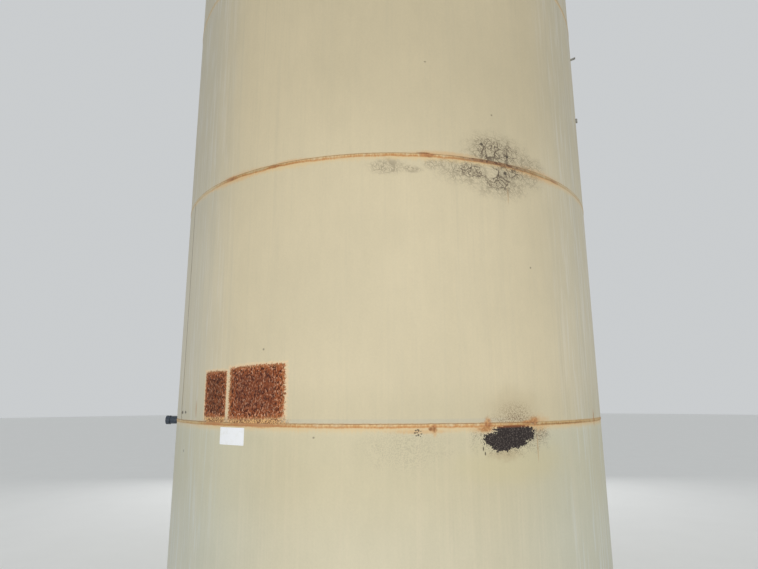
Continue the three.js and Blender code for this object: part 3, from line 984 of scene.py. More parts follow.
def fade(value, start, end, low=0.0, high=1.0):
    """Goes smoothly from low to high as the value goes from start to end."""
    places = {"Value": value, "From Min": start, "From Max": end, "To Min": low, "To Max": high}
    return add("MapRange", places, interpolation_type="SMOOTHSTEP").outputs[0]


def noise(place, scale, detail=3.0, roughness=0.55, stretched=None):
    """Noise of a given fineness, or drawn out by three factors."""
    if stretched:
        place = vector_calc("MULTIPLY", place, stretched)
    settings = {"Vector": place, "Scale": scale, "Detail": detail, "Roughness": roughness}
    return add("TexNoise", settings).outputs[0]


def mix(factor, first, second, blend_type="MIX"):
    made = add("Mix", data_type="RGBA", blend_type=blend_type, clamp_factor=True)
    for index, value in ((0, factor), (6, first), (7, second)):
        wire(made.inputs[index], value)
    return made.outputs[2]


def tint(colour, mask, factors):
    """Multiplies a colour's red, green and blue where the mask is."""
    return mix(mask, colour, (*factors, 1.0), "MULTIPLY")


def lay(colour, mask, strength, over):
    """Lays a colour over another where the mask is, at a given strength."""
    return mix(times(mask, strength), colour, over)


# %% [markdown]
# ## Effects as node groups
# What more than one material uses is built once, as a group with named inputs and outputs. An input's usual
# value says what it is: three numbers for a vector, four for a colour, one for a plain value.

# %% Group helpers
ORIGIN = (0.0, 0.0, 0.0)
SOCKET_KINDS = {1: "NodeSocketFloat", 3: "NodeSocketVector", 4: "NodeSocketColor"}
OUTPUT_SIZES = {"Colour": 4, "Place": 3}


def new_group(name, inputs, *outputs):
    global tree
    tree = bpy.data.node_groups.new(name, "ShaderNodeTree")
    for label, value in inputs.items():
        size = len(value) if isinstance(value, tuple) else 1
        socket = tree.interface.new_socket(label, in_out="INPUT", socket_type=SOCKET_KINDS[size])
        socket.default_value = value
    for label in outputs:
        kind = SOCKET_KINDS[OUTPUT_SIZES.get(label, 1)]
        tree.interface.new_socket(label, in_out="OUTPUT", socket_type=kind)
    tree.nodes.new("NodeGroupOutput")
    return tree, tree.nodes.new("NodeGroupInput").outputs


def put_out(**values):
    for label, value in values.items():
        wire(tree.nodes["Group Output"].inputs[label], value)
    print("group:", tree.name, len(tree.nodes), "nodes")


def use(group, **inputs):
    made = add("Group", node_tree=group)
    for label, value in inputs.items():
        wire(made.inputs[label], value)
    return made.outputs


# %% [markdown]
# ## Where on the shell
# Marks on a rolled plate are easiest to place as on flat paper: so far round the shell from its front line,
# and so high. The arc tangent of the object's own X and Y gives the first, and Z the second, both in
# metres.

# %% Group: place on the shell
shell_place, inside = new_group("Shell place", {"Vector": ORIGIN}, "Place", "Arc", "Height")
parts = add("SeparateXYZ", {0: inside["Vector"]}).outputs
arc = times(calc("ARCTAN2", parts["X"], times(parts["Y"], -1.0)), RADIUS)
put_out(Place=vector(arc, parts["Z"]), Arc=arc, Height=parts["Z"])

# %% [markdown]
# ## Marks with ragged edges
# Rust patches, blooms, drips and chips are all one kind of mark: a round or squarish outline, disturbed by
# noise. One group makes them all. Its Square value goes from a disc to a box, Wander is the noise that
# moves the edge, Soft is the width of the edge, and Slant lifts the right side. Marks of one kind share one
# noise, which keeps the shader short.

# %% Group: ragged mark
MARK_PLACE = {"Place": ORIGIN, "Centre": ORIGIN, "Reach": (0.1, 0.1, 1.0)}
MARK_EDGE = {"Square": 0.0, "Wander": 0.0, "Soft": 0.1, "Slant": 0.0}
ragged_mark, inside = new_group("Ragged mark", {**MARK_PLACE, **MARK_EDGE}, "Mask", "Distance")
offset = vector_calc("SUBTRACT", inside["Place"], inside["Centre"])
lift = vector(y=times(vector_calc("DOT_PRODUCT", offset, (1, 0, 0)), inside["Slant"]))
level = vector_calc("SUBTRACT", offset, lift)
scaled = vector_calc("ABSOLUTE", vector_calc("DIVIDE", level, inside["Reach"]))
round_one = vector_calc("LENGTH", scaled)
wide, high = (vector_calc("DOT_PRODUCT", scaled, axis) for axis in ((1, 0, 0), (0, 1, 0)))
square_one = larger(wide, high)
shape = times_plus(minus(square_one, round_one), inside["Square"], round_one)
distance = calc("ADD", shape, inside["Wander"])
near, far = minus(1.0, inside["Soft"]), calc("ADD", 1.0, inside["Soft"])
put_out(Mask=fade(distance, far, near), Distance=distance)

# %% [markdown]
# ## Weathered cream paint
# The paint is old, nearly matt and quite even, but never flat: large pale clouds, faint upright streaks
# where rain runs down, and a fine roller grain. The group gives the colour and a fine height for the bump,
# from the tank's own metres, so that every painted piece is in one weather.

# %% Group: weathered paint
PAINT_COLOURS = {
    "Fresh": linear(219, 205, 172),
    "Faded": linear(211, 198, 166),
    "Streak": linear(208, 196, 166),
}
weathered, inside = new_group(
    "Weathered paint", {"Vector": ORIGIN, **PAINT_COLOURS, "Streaks": 0.5}, "Colour", "Height"
)
place = inside["Vector"]
colour = mix(fade(noise(place, 0.9, 4), 0.35, 0.68), inside["Fresh"], inside["Faded"])
runs = noise(place, 1.0, 4, 0.6, (14, 14, 0.4))
fine_runs = noise(place, 1.0, 4, 0.6, (62, 62, 1.2))
run_mask = times(fade(runs, 0.42, 0.62, 0.25, 1.0), fade(fine_runs, 0.36, 0.64))
colour = lay(colour, run_mask, inside["Streaks"], inside["Streak"])
grain = noise(place, 90, 3, 0.6)
blotches = noise(place, 1.0, 4, 0.6, (14, 14, 5))
shade = calc("ADD", fade(grain, 0.2, 0.8, 0.975, 1.02), fade(blotches, 0.2, 0.8, -0.018, 0.018))
colour = mix(1.0, colour, vector(shade, shade, shade), "MULTIPLY")
put_out(Colour=colour, Height=calc("ADD", grain, times(blotches, 2.0)))

# %% [markdown]
# ## Rust
# Bare rusted steel is not one brown. It is dark red-brown scale with orange and pale specks of 5 to 15 mm,
# and it is rough. Two noises of nearly one size give the specks, and the same values give the bump.

# %% Group: rust grain
RUST_COLOURS = {"Dark": linear(72, 28, 9), "Main": linear(156, 84, 44), "Light": linear(234, 176, 138)}
RUST_INPUTS = {"Vector": ORIGIN, "Scale": 1.0, **RUST_COLOURS}
rust_grain, inside = new_group("Rust grain", RUST_INPUTS, "Colour", "Height")
size = vector(inside["Scale"], inside["Scale"], times(inside["Scale"], 0.6))
scaled = vector_calc("MULTIPLY", inside["Vector"], size)
specks = noise(scaled, 92, 2, 0.6)
flecks = noise(vector_calc("ADD", scaled, (3.1, 1.7, 5.3)), 125, 2, 0.6)
broad = noise(scaled, 7, 4)
colour = mix(fade(specks, 0.44, 0.54), inside["Dark"], inside["Main"])
colour = lay(colour, fade(flecks, 0.54, 0.66), 0.8, inside["Light"])
colour = mix(fade(broad, 0.5, 0.72, 0.0, 0.4), colour, inside["Dark"])
put_out(Colour=colour, Height=calc("ADD", specks, times(flecks, 0.6)))

# %% [markdown]
# ## Rust along the seams
# Rust starts at the toes of a bead, where paint is thinnest, as two thin brown lines. A ragged orange line
# runs through the bead's lower half, stain spreads over the bead, and a pale yellow halo bleeds a few
# centimetres into the paint, mostly downwards. The group measures how far a point is from the nearest seam.
# The lower three seams are one course apart, so wrapping the height does that in one step, and the rim's
# seam is compared with them. The seam is rustier all along the front than round the left side.

# %% Group: seam rust
LEFT_SIDE = -2.4
TOE_AT = 0.0092
seam_rust, inside = new_group("Seam rust", {"Vector": ORIGIN}, "Halo", "Toe", "Lower", "Stain")
place = inside["Vector"]
here = use(shell_place, Vector=place)
from_girth = calc("WRAP", minus(here["Height"], SEAMS[1]), COURSE / 2, -COURSE / 2)
from_rim = minus(here["Height"], SHELL_TOP)
rim_nearer = calc("LESS_THAN", calc("ABSOLUTE", from_rim), calc("ABSOLUTE", from_girth))
across = times_plus(minus(from_rim, from_girth), rim_nearer, from_girth)
wobbly = times_plus(minus(noise(place, 30, 3, 0.6), 0.5), 0.006, across)
off_seam = calc("ABSOLUTE", wobbly)
along = noise(place, 1.9, 4, 0.6, (1, 1, 3))
short = noise(place, 9.0, 4, 0.65, (1, 1, 0.3))
fine = noise(place, 1.0, 2, 0.5, (120, 120, 14))
from_left = apart(here["Arc"], LEFT_SIDE)
amount = times(fade(along, 0.28, 0.6, 0.5, 1.0), fade(from_left, 0.9, 1.3, 0.5, 1.0))
depth = times(short, fade(fine, 0.3, 0.7, 0.026, 0.052))
spread = times_plus(fade(wobbly, 0.004, -0.004), depth, 0.015)
halo = fade(calc("DIVIDE", off_seam, spread), 1.3, 0.35)
toe = times(fade(apart(wobbly, TOE_AT), 0.0036, 0.0008), fade(short, 0.3, 0.5, 0.5, 1.0))
middle_line = times_plus(minus(short, 0.5), 0.022, -0.0072)
lower = times(fade(apart(wobbly, middle_line), 0.0085, 0.002), fade(fine, 0.25, 0.6, 0.35, 1.0))
front_share = fade(calc("ABSOLUTE", here["Arc"]), 1.45, 1.1, 0.45, 1.0)
lower_share = times(front_share, fade(along, 0.3, 0.55, 0.4, 1.0))
stain = times(fade(off_seam, 0.013, 0.007), fade(short, 0.34, 0.62, 0.25, 1.0))
put_out(Halo=times(halo, amount), Toe=toe, Lower=times(lower, lower_share), Stain=times(stain, amount))

# %% [markdown]
# ## Crackle
# Across the second seam the paint has crazed: dark hairlines in a web of small cells, dense near the seam
# and fading outwards. Distance to the edge of Voronoi cells draws such a web and noise bends it. Two webs
# of different sizes lie over each other, with the contour lines of a noise for flakes between them, all
# drawn out a little towards the lower right, as the cracks are.

# %% Group: crackle
def cell_edges(place, scale, start, end, high=1.0):
    web = add("TexVoronoi", {"Vector": place, "Scale": scale}, feature="DISTANCE_TO_EDGE").outputs["Distance"]
    return fade(web, start, end, 0.0, high)


crackle, inside = new_group("Crackle", {"Place": ORIGIN, "Strength": 1.0}, "Mask")
place = inside["Place"]
slanted = add("VectorRotate", {"Vector": place, "Angle": math.radians(28)}, rotation_type="Z_AXIS").outputs[0]
drawn = vector_calc("MULTIPLY", slanted, (0.7, 1, 1))
bend_noise = add("TexNoise", {"Vector": place, "Scale": 32.0, "Detail": 2.0}).outputs[1]
bend = vector_calc("MULTIPLY", vector_calc("SUBTRACT", bend_noise, (0.5, 0.5, 0.5)), (0.03, 0.03, 0))
bent = vector_calc("ADD", drawn, bend)
coarse = cell_edges(bent, 24, 0.055, 0.025, 0.9)
patchy = fade(noise(place, 22, 3, 0.6), 0.40, 0.6, 0.15, 0.85)
medium = times(cell_edges(bent, 66, 0.125, 0.06), patchy)
broken = fade(noise(place, 55, 3, 0.7), 0.38, 0.56, 0.2, 0.95)
contours = calc("PINGPONG", times(noise(bent, 19, 2, 0.5), 14), 0.5)
flaked = times(fade(contours, 0.15, 0.05), broken)
put_out(Mask=times(larger(larger(coarse, medium), flaked), inside["Strength"]))

# %% [markdown]
# ## Laying marks on a finish
# A material begins with its shader, and ends by wiring its colour, roughness and bump into it. In between,
# marks are laid over its colour one kind at a time. Each mark is given as its place round the shell, its
# height, its half width and its half height. How a kind looks takes three numbers: how ragged its edge is,
# how fine the noise that frays it, and how soft it is.

# %% Material helpers
ANY_HEIGHT = (-math.inf, math.inf)
BUMP_STRENGTH = 0.6


def new_material(name, roughness, metallic=0.0, specular=0.35):
    global tree
    material = bpy.data.materials.new(name)
    material.use_nodes = True
    tree = material.node_tree
    shader = tree.nodes["Principled BSDF"].inputs
    for key, value in (("Roughness", roughness), ("Metallic", metallic), ("Specular IOR Level", specular)):
        shader[key].default_value = value
    return material, add("TexCoord").outputs["Object"]


def dress(colour, roughness=None, height=None, depth=0.001):
    shader = tree.nodes["Principled BSDF"].inputs
    wire(shader["Base Color"], colour)
    if roughness is not None:
        wire(shader["Roughness"], roughness)
    if height is not None:
        bump = add("Bump", {"Height": height, "Distance": depth, "Strength": BUMP_STRENGTH})
        wire(shader["Normal"], bump.outputs["Normal"])


def wander(place, ragged, grain):
    """How far the edge of a mark strays, in parts of the mark's reach."""
    return times(minus(noise(place, grain, 4, 0.65), 0.5), ragged)


def marks(place, several, ragged, grain, soft, square=0.0, course=ANY_HEIGHT):
    """The strongest of several marks, or None where none touches the course."""
    low, high = course
    several = [one for one in several if low - 1.5 * one[3] < one[1] < high + 1.5 * one[3]]
    if not several:
        return None
    settings = {"Place": place, "Wander": wander(place, ragged, grain), "Soft": soft, "Square": square}
    result = None
    for arc_at, height_at, wide, high in several:
        mask = use(ragged_mark, Centre=(arc_at, height_at, 0), Reach=(wide, high, 1), **settings)["Mask"]
        result = mask if result is None else larger(result, mask)
    return result


def lay_marks(colour, place, several, look, strength, over, course=ANY_HEIGHT, through=None):
    """Lays a colour over another where the marks are, or only where a second mask lets it through."""
    mask = marks(place, several, *look, course=course)
    if mask is None:
        return colour
    return lay(colour, mask if through is None else times(mask, through), strength, over)


def box(here, centre, reach):
    """A plain rectangle on the shell, for the bump, which works out all that it needs three times over."""
    aside = minus(apart(here["Arc"], centre[0]), reach[0])
    above = minus(apart(here["Height"], centre[1]), reach[1])
    return fade(larger(aside, above), 0.004, -0.004)


print("marks can be laid")

# %% [markdown]
# ## The shell's paint
# The paint fades towards the sides and greys towards the left, chalky streaks run down the sides, and each
# course has tones of its own. The sides are tinted bluer as a painted reflection of the sky, the courses
# above the lowest are darker towards the top as painted shade, and the foot of the lowest course is paler
# and bluer as painted light from below. The lowest is yellowed, with soot and tan round the dark patch. The
# second is darker at its foot, with smoke above the patch. Each course has its own material, with the marks
# that touch it and no others, because a shader can hold only so many values at once, and one that holds too
# many renders black.

# %% Tones of each course
YELLOWED = [(0.70, 1.33, 0.32, 0.10)]
TANNED = [(0.63, 1.375, 0.080, 0.030), (0.855, 1.485, 0.070, 0.050)]
SOOT_BELOW = [(0.680, 1.4600, 0.190, 0.070), (0.855, 1.4820, 0.085, 0.060), (0.060, 1.4200, 0.180, 0.100)]
SMOKE = [(0.70, 1.61, 0.15, 0.10)]
SOOT_ABOVE = [(0.70, 1.552, 0.125, 0.040), (0.71, 1.60, 0.10, 0.045)]
STREAK_LOW, STREAK_HIGH = linear(222, 206, 174), linear(208, 196, 166)


def faded_paint(place, here, aside, lowest):
    streak = STREAK_LOW if lowest else STREAK_HIGH
    paint = use(weathered, Vector=place, Streak=streak, Streaks=fade(aside, 0.6, 1.3, 0.45, 0.8))
    chalky = fade(noise(place, 1.0, 3, 0.6, (40, 40, 2.0)), 0.50, 0.64)
    chalky = times(chalky, fade(aside, 0.95, 1.35))
    colour = lay(paint["Colour"], chalky, 0.5, linear(228, 220, 204))
    from_left = apart(here["Arc"], LEFT_SIDE)
    return mix(fade(from_left, 1.45, 0.9, 0.0, 0.2), colour, linear(188, 183, 170)), paint["Height"]


def lowest_tones_and_painted_light(colour, place, here, aside, high):
    # painted reflection: the sides of the lowest course are tinted bluer, as the sky's reflection at a
    # grazing angle
    painted_sky_reflection = times(fade(aside, 0.5, 1.2), fade(aside, 3.2, 1.9, 0.4, 1.0))
    colour = tint(colour, painted_sky_reflection, (0.935, 1.00, 1.09))
    colour = tint(colour, fade(here["Height"], high + 0.02, high - 0.08), (0.914, 0.942, 0.94))
    # painted light from below: the lowest metre is paler and bluer, as light thrown up from the floor
    colour = tint(colour, fade(here["Height"], 1.30, 0.85), (1.05, 1.075, 1.15))
    colour = lay_marks(colour, here["Place"], YELLOWED, (0.9, 9, 0.6), 0.45, linear(206, 194, 152))
    colour = lay_marks(colour, here["Place"], TANNED, (1.8, 22, 0.8), 0.36, linear(172, 146, 110))
    grain = fade(noise(place, 150, 1, 0.5), 0.46, 0.60)
    by_patch = fade(here["Arc"], 0.25, 0.45, 0.17, 0.75)
    soot = linear(96, 82, 68)
    return lay_marks(colour, here["Place"], SOOT_BELOW, (1.8, 22, 0.8), by_patch, soot, through=grain)


def upper_painted_light(colour, here, aside):
    # painted reflection: the sides are tinted bluer, as the sky's reflection at a grazing angle
    colour = tint(colour, fade(aside, 0.9, 1.5), (0.935, 0.98, 1.06))
    # painted shade: the courses above the lowest get darker towards the top
    return tint(colour, fade(here["Height"], 2.1, 3.7), (0.915, 0.903, 0.88))


def second_tones(colour, place, here, aside, low):
    colour = tint(colour, fade(here["Height"], low + 0.30, low + 0.05), (0.94, 0.946, 0.937))
    washed = times(fade(here["Height"], low + 0.038, low + 0.030), fade(aside, 0.8, 0.5))
    colour = tint(colour, washed, (0.93, 0.955, 1.03))
    colour = lay_marks(colour, here["Place"], SMOKE, (1.0, 10, 0.7), 0.3, linear(180, 160, 122))
    grain = fade(noise(place, 175, 1, 0.5), 0.47, 0.58)
    near_seam = fade(here["Height"], 1.62, 1.55, 0.4, 0.9)
    soot = linear(130, 104, 80)
    return lay_marks(colour, here["Place"], SOOT_ABOVE, (1.0, 14, 0.7), near_seam, soot, through=grain)


print("tones for", len(JOINTS), "courses")

# %% [markdown]
# The seam's rust is laid over those tones. Here and there it breaks out in a bloom, and faint stains spread
# round the blooms. The toes of the upright joints show as two thin grey-brown lines.

# %% Seams, joints and blooms
HALO, TOE, LOWER = linear(222, 194, 144), linear(150, 112, 76), linear(202, 142, 84)
STAIN, BLOOM = linear(206, 152, 98), linear(172, 120, 70)
BLOOMS = [
    (-1.09, 3.056, 0.055, 0.014),
    (-0.72, 3.053, 0.045, 0.007),
    (0.215, 3.058, 0.042, 0.013),
    (0.62, 3.056, 0.14, 0.008),
    (1.19, 3.052, 0.05, 0.008),
    (0.204, 1.515, 0.013, 0.010),
    (0.222, 1.515, 0.014, 0.020),
    (0.527, 1.530, 0.022, 0.036),
    (0.510, 1.508, 0.040, 0.012),
    (0.840, 1.546, 0.032, 0.020),
    (0.800, 1.540, 0.050, 0.010),
    (1.55, 1.545, 0.008, 0.045),
    (2.6, 1.53, 0.06, 0.02),
    (-2.4, 3.05, 0.07, 0.02),
    (3.6, 3.05, 0.10, 0.02),
    (-3.4, 1.53, 0.08, 0.018),
    (4.3, 4.575, 0.07, 0.02),
    (-4.1, 4.575, 0.09, 0.018),
]
FAINT_STAINS = [
    (0.34, 3.072, 0.17, 0.013),
    (1.02, 3.050, 0.20, 0.030),
    (-1.02, 3.050, 0.22, 0.024),
    (-0.62, 3.066, 0.10, 0.010),
    (0.50, 1.505, 0.060, 0.016),
    (0.88, 1.535, 0.07, 0.036),
    (0.15, 1.500, 0.13, 0.010),
    (0.224, 1.490, 0.010, 0.016),
]


def rusty_seams(colour, place, here, seam, count, course):
    spot = here["Place"]
    colour = lay(colour, seam["Halo"], 0.8, HALO)
    colour = lay_marks(colour, spot, FAINT_STAINS, (2.2, 55, 0.8), 0.5, linear(214, 168, 112), course)
    colour = lay(colour, seam["Lower"], 0.8, LOWER)
    toe_strength = fade(here["Arc"], 0.80, 0.92, 0.85, 0.35) if count == 1 else 0.85
    colour = lay(colour, seam["Toe"], toe_strength, TOE)
    for angle in (JOINTS[count], JOINTS[count] + 180):
        joint_arc = math.radians((angle - FRONT + 180) % 360 - 180) * RADIUS
        off_toe = apart(apart(here["Arc"], joint_arc), 0.0095)
        colour = lay(colour, fade(off_toe, 0.0060, 0.001), 0.75, linear(126, 112, 90))
    bloom_colour = mix(fade(noise(place, 75, 3), 0.36, 0.56), STAIN, BLOOM)
    return lay_marks(colour, spot, BLOOMS, (1.6, 80, 0.5), 0.9, bloom_colour, course)


print("blooms:", len(BLOOMS))

# %% [markdown]
# Across the second seam the paint has crazed on the right, with one round flake that is nearly whole inside
# and has a dark outline on its right side. Small specks and drips are scattered over the whole front.

# %% Crazing, specks and drips
CRAZED = [
    (0.670, 3.130, 0.160, 0.085),
    (0.520, 2.985, 0.130, 0.048),
    (0.680, 2.935, 0.120, 0.055),
    (0.770, 3.020, 0.110, 0.050),
]
FAINT_CRAZED = [
    (0.69, 3.12, 0.20, 0.11),
    (0.90, 3.10, 0.14, 0.06),
    (0.45, 2.97, 0.15, 0.07),
    (0.68, 2.93, 0.19, 0.08),
    (0.84, 3.02, 0.17, 0.08),
    (-0.02, 2.980, 0.09, 0.042),
    (0.12, 2.965, 0.06, 0.020),
    (0.33, 3.010, 0.06, 0.028),
    (0.25, 2.998, 0.05, 0.030),
]
ROUND_FLAKE = {"Centre": (0.611, 2.991, 0), "Reach": (0.072, 0.038, 1), "Soft": 0.08}
BURNT_TOE = [(0.71, 3.052, 0.19, 0.035)]
SPECKS = [
    (0.6471, 3.3693, 0.006, 0.006),
    (0.8862, 2.4328, 0.006, 0.006),
    (-0.4203, 1.4693, 0.006, 0.005),
    (-1.5520, 1.3493, 0.008, 0.008),
    (0.2190, 3.6610, 0.007, 0.004),
    (-0.7500, 1.9480, 0.006, 0.006),
]
BROWN_SPECKS = [
    (0.2040, 1.5120, 0.010, 0.008),
    (0.2220, 1.5150, 0.005, 0.014),
    (0.1950, 3.0670, 0.034, 0.005),
    (0.2350, 3.0470, 0.012, 0.006),
]
DARK_SPECKS = [
    (-1.6444, 1.5860, 0.022, 0.010),
    (-1.5648, 1.5888, 0.017, 0.008),
    (-1.2520, 1.5690, 0.006, 0.014),
    (0.1235, 1.5065, 0.005, 0.004),
    (0.1345, 1.5095, 0.006, 0.004),
    (0.1190, 1.4945, 0.006, 0.004),
    (0.1300, 1.4955, 0.004, 0.004),
    (0.1390, 1.5060, 0.004, 0.006),
    (0.1370, 1.4840, 0.006, 0.005),
    (0.1260, 1.4800, 0.005, 0.003),
    (0.1500, 1.5030, 0.004, 0.002),
    (0.1530, 1.4890, 0.005, 0.003),
    (0.1480, 1.4770, 0.003, 0.003),
    (0.7260, 3.0030, 0.012, 0.011),
    (0.5644, 3.1627, 0.011, 0.009),
    (0.7465, 3.1132, 0.012, 0.009),
    (0.4932, 1.4078, 0.004, 0.011),
    (0.5038, 1.3821, 0.004, 0.009),
]
DRIPS = [
    (0.7395, 2.860, 0.0035, 0.050),
    (0.8563, 1.400, 0.004, 0.065),
    (1.545, 1.545, 0.004, 0.045),
    (-1.37, 1.61, 0.01, 0.05),
]
SMALL_MARKS = [
    (SPECKS, (0.7, 90, 0.5), 0.6, linear(96, 82, 66)),
    (BROWN_SPECKS, (0.9, 70, 0.5), 0.7, linear(132, 84, 44)),
    (DARK_SPECKS, (0.9, 90, 0.4), 0.85, linear(66, 56, 46)),
    (DRIPS, (0.5, 40, 0.5), 0.5, linear(180, 138, 90)),
]


def crazing(colour, here, seam, count, course):
    spot = here["Place"]
    crazed = marks(spot, CRAZED, 1.3, 16, 0.45, course=course)
    faint = marks(spot, FAINT_CRAZED, 1.2, 16, 0.6, course=course)
    where = larger(times(crazed, 0.9), times(faint, 0.45))
    if count == 1:
        flake = use(ragged_mark, Place=spot, Wander=wander(spot, 0.9, 22), **ROUND_FLAKE)["Distance"]
        where = times(where, fade(flake, 0.75, 0.95, 0.35, 1.0))
        outline = fade(apart(flake, 0.98), 0.085, 0.045)
        colour = lay(colour, outline, fade(here["Arc"], 0.60, 0.68, 0.1, 0.8), linear(70, 60, 48))
    web = use(crackle, Place=spot, Strength=where)["Mask"]
    colour = lay(colour, where, 0.14, linear(128, 108, 84))
    colour = lay(colour, web, 1.0, linear(74, 56, 42))
    return lay_marks(colour, spot, BURNT_TOE, (0.8, 20, 0.3), 0.8, linear(96, 62, 44), through=seam["Toe"])


print("small marks:", sum(len(row[0]) for row in SMALL_MARKS))

# %% [markdown]
# Last comes what has lost its paint. A dark patch under the lowest seam on the right shows bare, blackened
# steel, with paint that frays into grains at its edge and a scorched brown band at its top. Two squares on
# the left have rusted through where plates once hung, each with a pale rim, and their rust has run down to
# the seam. The bare places are rougher than the paint, and a plain box round each tells the bump where the
# rust's own grain counts.

# %% Bare and rusted places
DARK_PATCH = [
    (0.680, 1.4800, 0.130, 0.055),
    (0.608, 1.4350, 0.075, 0.046),
    (0.558, 1.4560, 0.065, 0.032),
    (0.770, 1.4770, 0.067, 0.042),
    (0.690, 1.4400, 0.092, 0.036),
]
RUST_SQUARES = [
    ((-1.1460, 1.7010, 0), (0.1120, 0.1370, 1), 0.0, linear(62, 32, 14)),
    ((-0.8035, 1.7115, 0), (0.2065, 0.1505, 1), 0.035, linear(92, 46, 34)),
]
FOOT_STAINS = [(-1.140, 1.553, 0.112, 0.022), (-0.808, 1.553, 0.212, 0.024)]


def dark_patch(colour, place, here):
    patch = marks(here["Place"], DARK_PATCH, 1.2, 60, 0.40, 0.3)
    frayed = times_plus(noise(place, 150, 1, 0.5), 2.0, times_plus(patch, 1.42, -1.3))
    worn = fade(frayed, 0.44, 0.56)
    bare_grain = fade(noise(place, 165, 2, 0.6), 0.50, 0.72)
    bare_colour = mix(bare_grain, linear(46, 38, 36), linear(112, 102, 94))
    scorched = fade(here["Height"], 1.5085, 1.5205, 0.0, 0.8)
    rough_area = box(here, (0.68, 1.47), (0.10, 0.04))
    return mix(worn, colour, mix(scorched, bare_colour, linear(140, 84, 50))), worn, rough_area


def rust_squares(colour, place, here, rust):
    edge = {"Place": here["Place"], "Square": 0.93, "Wander": wander(here["Place"], 0.36, 85), "Soft": 0.03}
    worn, rough_area = 0.0, 0.0
    for centre, reach, slant, dark in RUST_SQUARES:
        square = use(ragged_mark, Centre=centre, Reach=reach, Slant=slant, **edge)
        colour = lay(colour, fade(square["Distance"], 1.13, 1.03), 0.8, linear(234, 204, 162))
        inmost = fade(square["Distance"], 0.94, 0.5, 0.0, 0.42)
        rim = fade(square["Distance"], 0.84, 0.98, 0.0, 0.35)
        rusted = mix(rim, mix(inmost, rust["Colour"], dark), linear(196, 134, 84))
        colour = mix(square["Mask"], colour, rusted)
        worn = larger(worn, square["Mask"])
        rough_area = larger(rough_area, box(here, centre, reach))
    run_down = marks(here["Place"], FOOT_STAINS, 0.8, 45, 0.25, 0.7)
    foot_grain = fade(noise(place, 120, 2, 0.6), 0.45, 0.54)
    foot_colour = mix(foot_grain, linear(118, 70, 34), linear(222, 174, 114))
    return lay(colour, minus(run_down, worn), 0.95, foot_colour), worn, rough_area


print("bare places:", 1 + len(RUST_SQUARES))


# %% Shell paint
def shell_paint(count):
    """The paint of one course, with the marks that touch it."""
    low, high = course = SEAMS[count], SEAMS[count + 1]
    material, place = new_material(f"shell_cream_paint_{count + 1}", 0.62)
    here = use(shell_place, Vector=place)
    aside = calc("ABSOLUTE", here["Arc"])
    colour, height = faded_paint(place, here, aside, count == 0)
    if count == 0:
        colour = lowest_tones_and_painted_light(colour, place, here, aside, high)
    else:
        colour = upper_painted_light(colour, here, aside)
    if count == 1:
        colour = second_tones(colour, place, here, aside, low)
    seam = use(seam_rust, Vector=place)
    colour = rusty_seams(colour, place, here, seam, count, course)
    if count in (1, 2):
        colour = crazing(colour, here, seam, count, course)
    for several, look, strength, over in SMALL_MARKS:
        colour = lay_marks(colour, here["Place"], several, look, strength, over, course)
    roughness = None
    if count in (0, 1):
        rust = use(rust_grain, Vector=place)
        if count == 0:
            colour, worn, rough_area = dark_patch(colour, place, here)
        else:
            colour, worn, rough_area = rust_squares(colour, place, here, rust)
        roughness = times_plus(worn, 0.25, 0.60)
        height = times_plus(times(rust["Height"], rough_area), 2.5, height)
    dress(colour, roughness, height, 0.0005)
    print("material:", material.name, len(tree.nodes), "nodes")
    return material


shell_materials = [shell_paint(count) for count in range(len(JOINTS))]

# %% [markdown]
# ## The beads
# The beads show the stain at its strongest. Blooms break out on them as on the paint beside them, the
# second seam is grimy and marked with dark dashes below the crazing, and the rust of the squares and the
# scorch of the dark patch run over the lowest seam.

# %% Bead material
GRIMY_BEAD = [(0.68, 3.054, 0.28, 0.020)]
DARK_DASHES = [(0.68, 3.060, 0.24, 0.011)]
SCORCHED_BEAD = [(0.682, 1.5170, 0.112, 0.008)]
SQUARES_FEET = [(arc_at, SEAMS[1], wide, BEAD_HALF) for arc_at, height_at, wide, high in FOOT_STAINS]

rusty_bead, place = new_material("rusty_bead", 0.75)
paint = use(weathered, Vector=place, Streaks=0.2)
seam = use(seam_rust, Vector=place)
fine = noise(place, 85.0, 3, 0.6, (1, 1, 0.35))
stain_colour = mix(fade(fine, 0.35, 0.65), linear(226, 192, 140), linear(200, 152, 98))
colour = mix(fade(seam["Stain"], 0.1, 0.7, 0.5, 0.95), paint["Colour"], stain_colour)
here = use(shell_place, Vector=place)
spot = here["Place"]
to_right = fade(here["Arc"], 0.78, 0.92)
colour = lay(colour, seam["Lower"], 0.85, mix(to_right, linear(196, 134, 78), linear(156, 110, 64)))
colour = lay(colour, seam["Toe"], times_plus(to_right, -0.5, 0.8), TOE)
bloom_colour = mix(fade(fine, 0.36, 0.66), linear(152, 92, 54), linear(206, 146, 94))
colour = lay_marks(colour, spot, BLOOMS, (1.5, 42, 0.3), 0.8, bloom_colour)
aside = calc("ABSOLUTE", here["Arc"])
high_up = fade(here["Height"], 2.0, 2.5)
colour = tint(colour, fade(aside, 0.4, 0.8), (0.83, 0.85, 0.81))
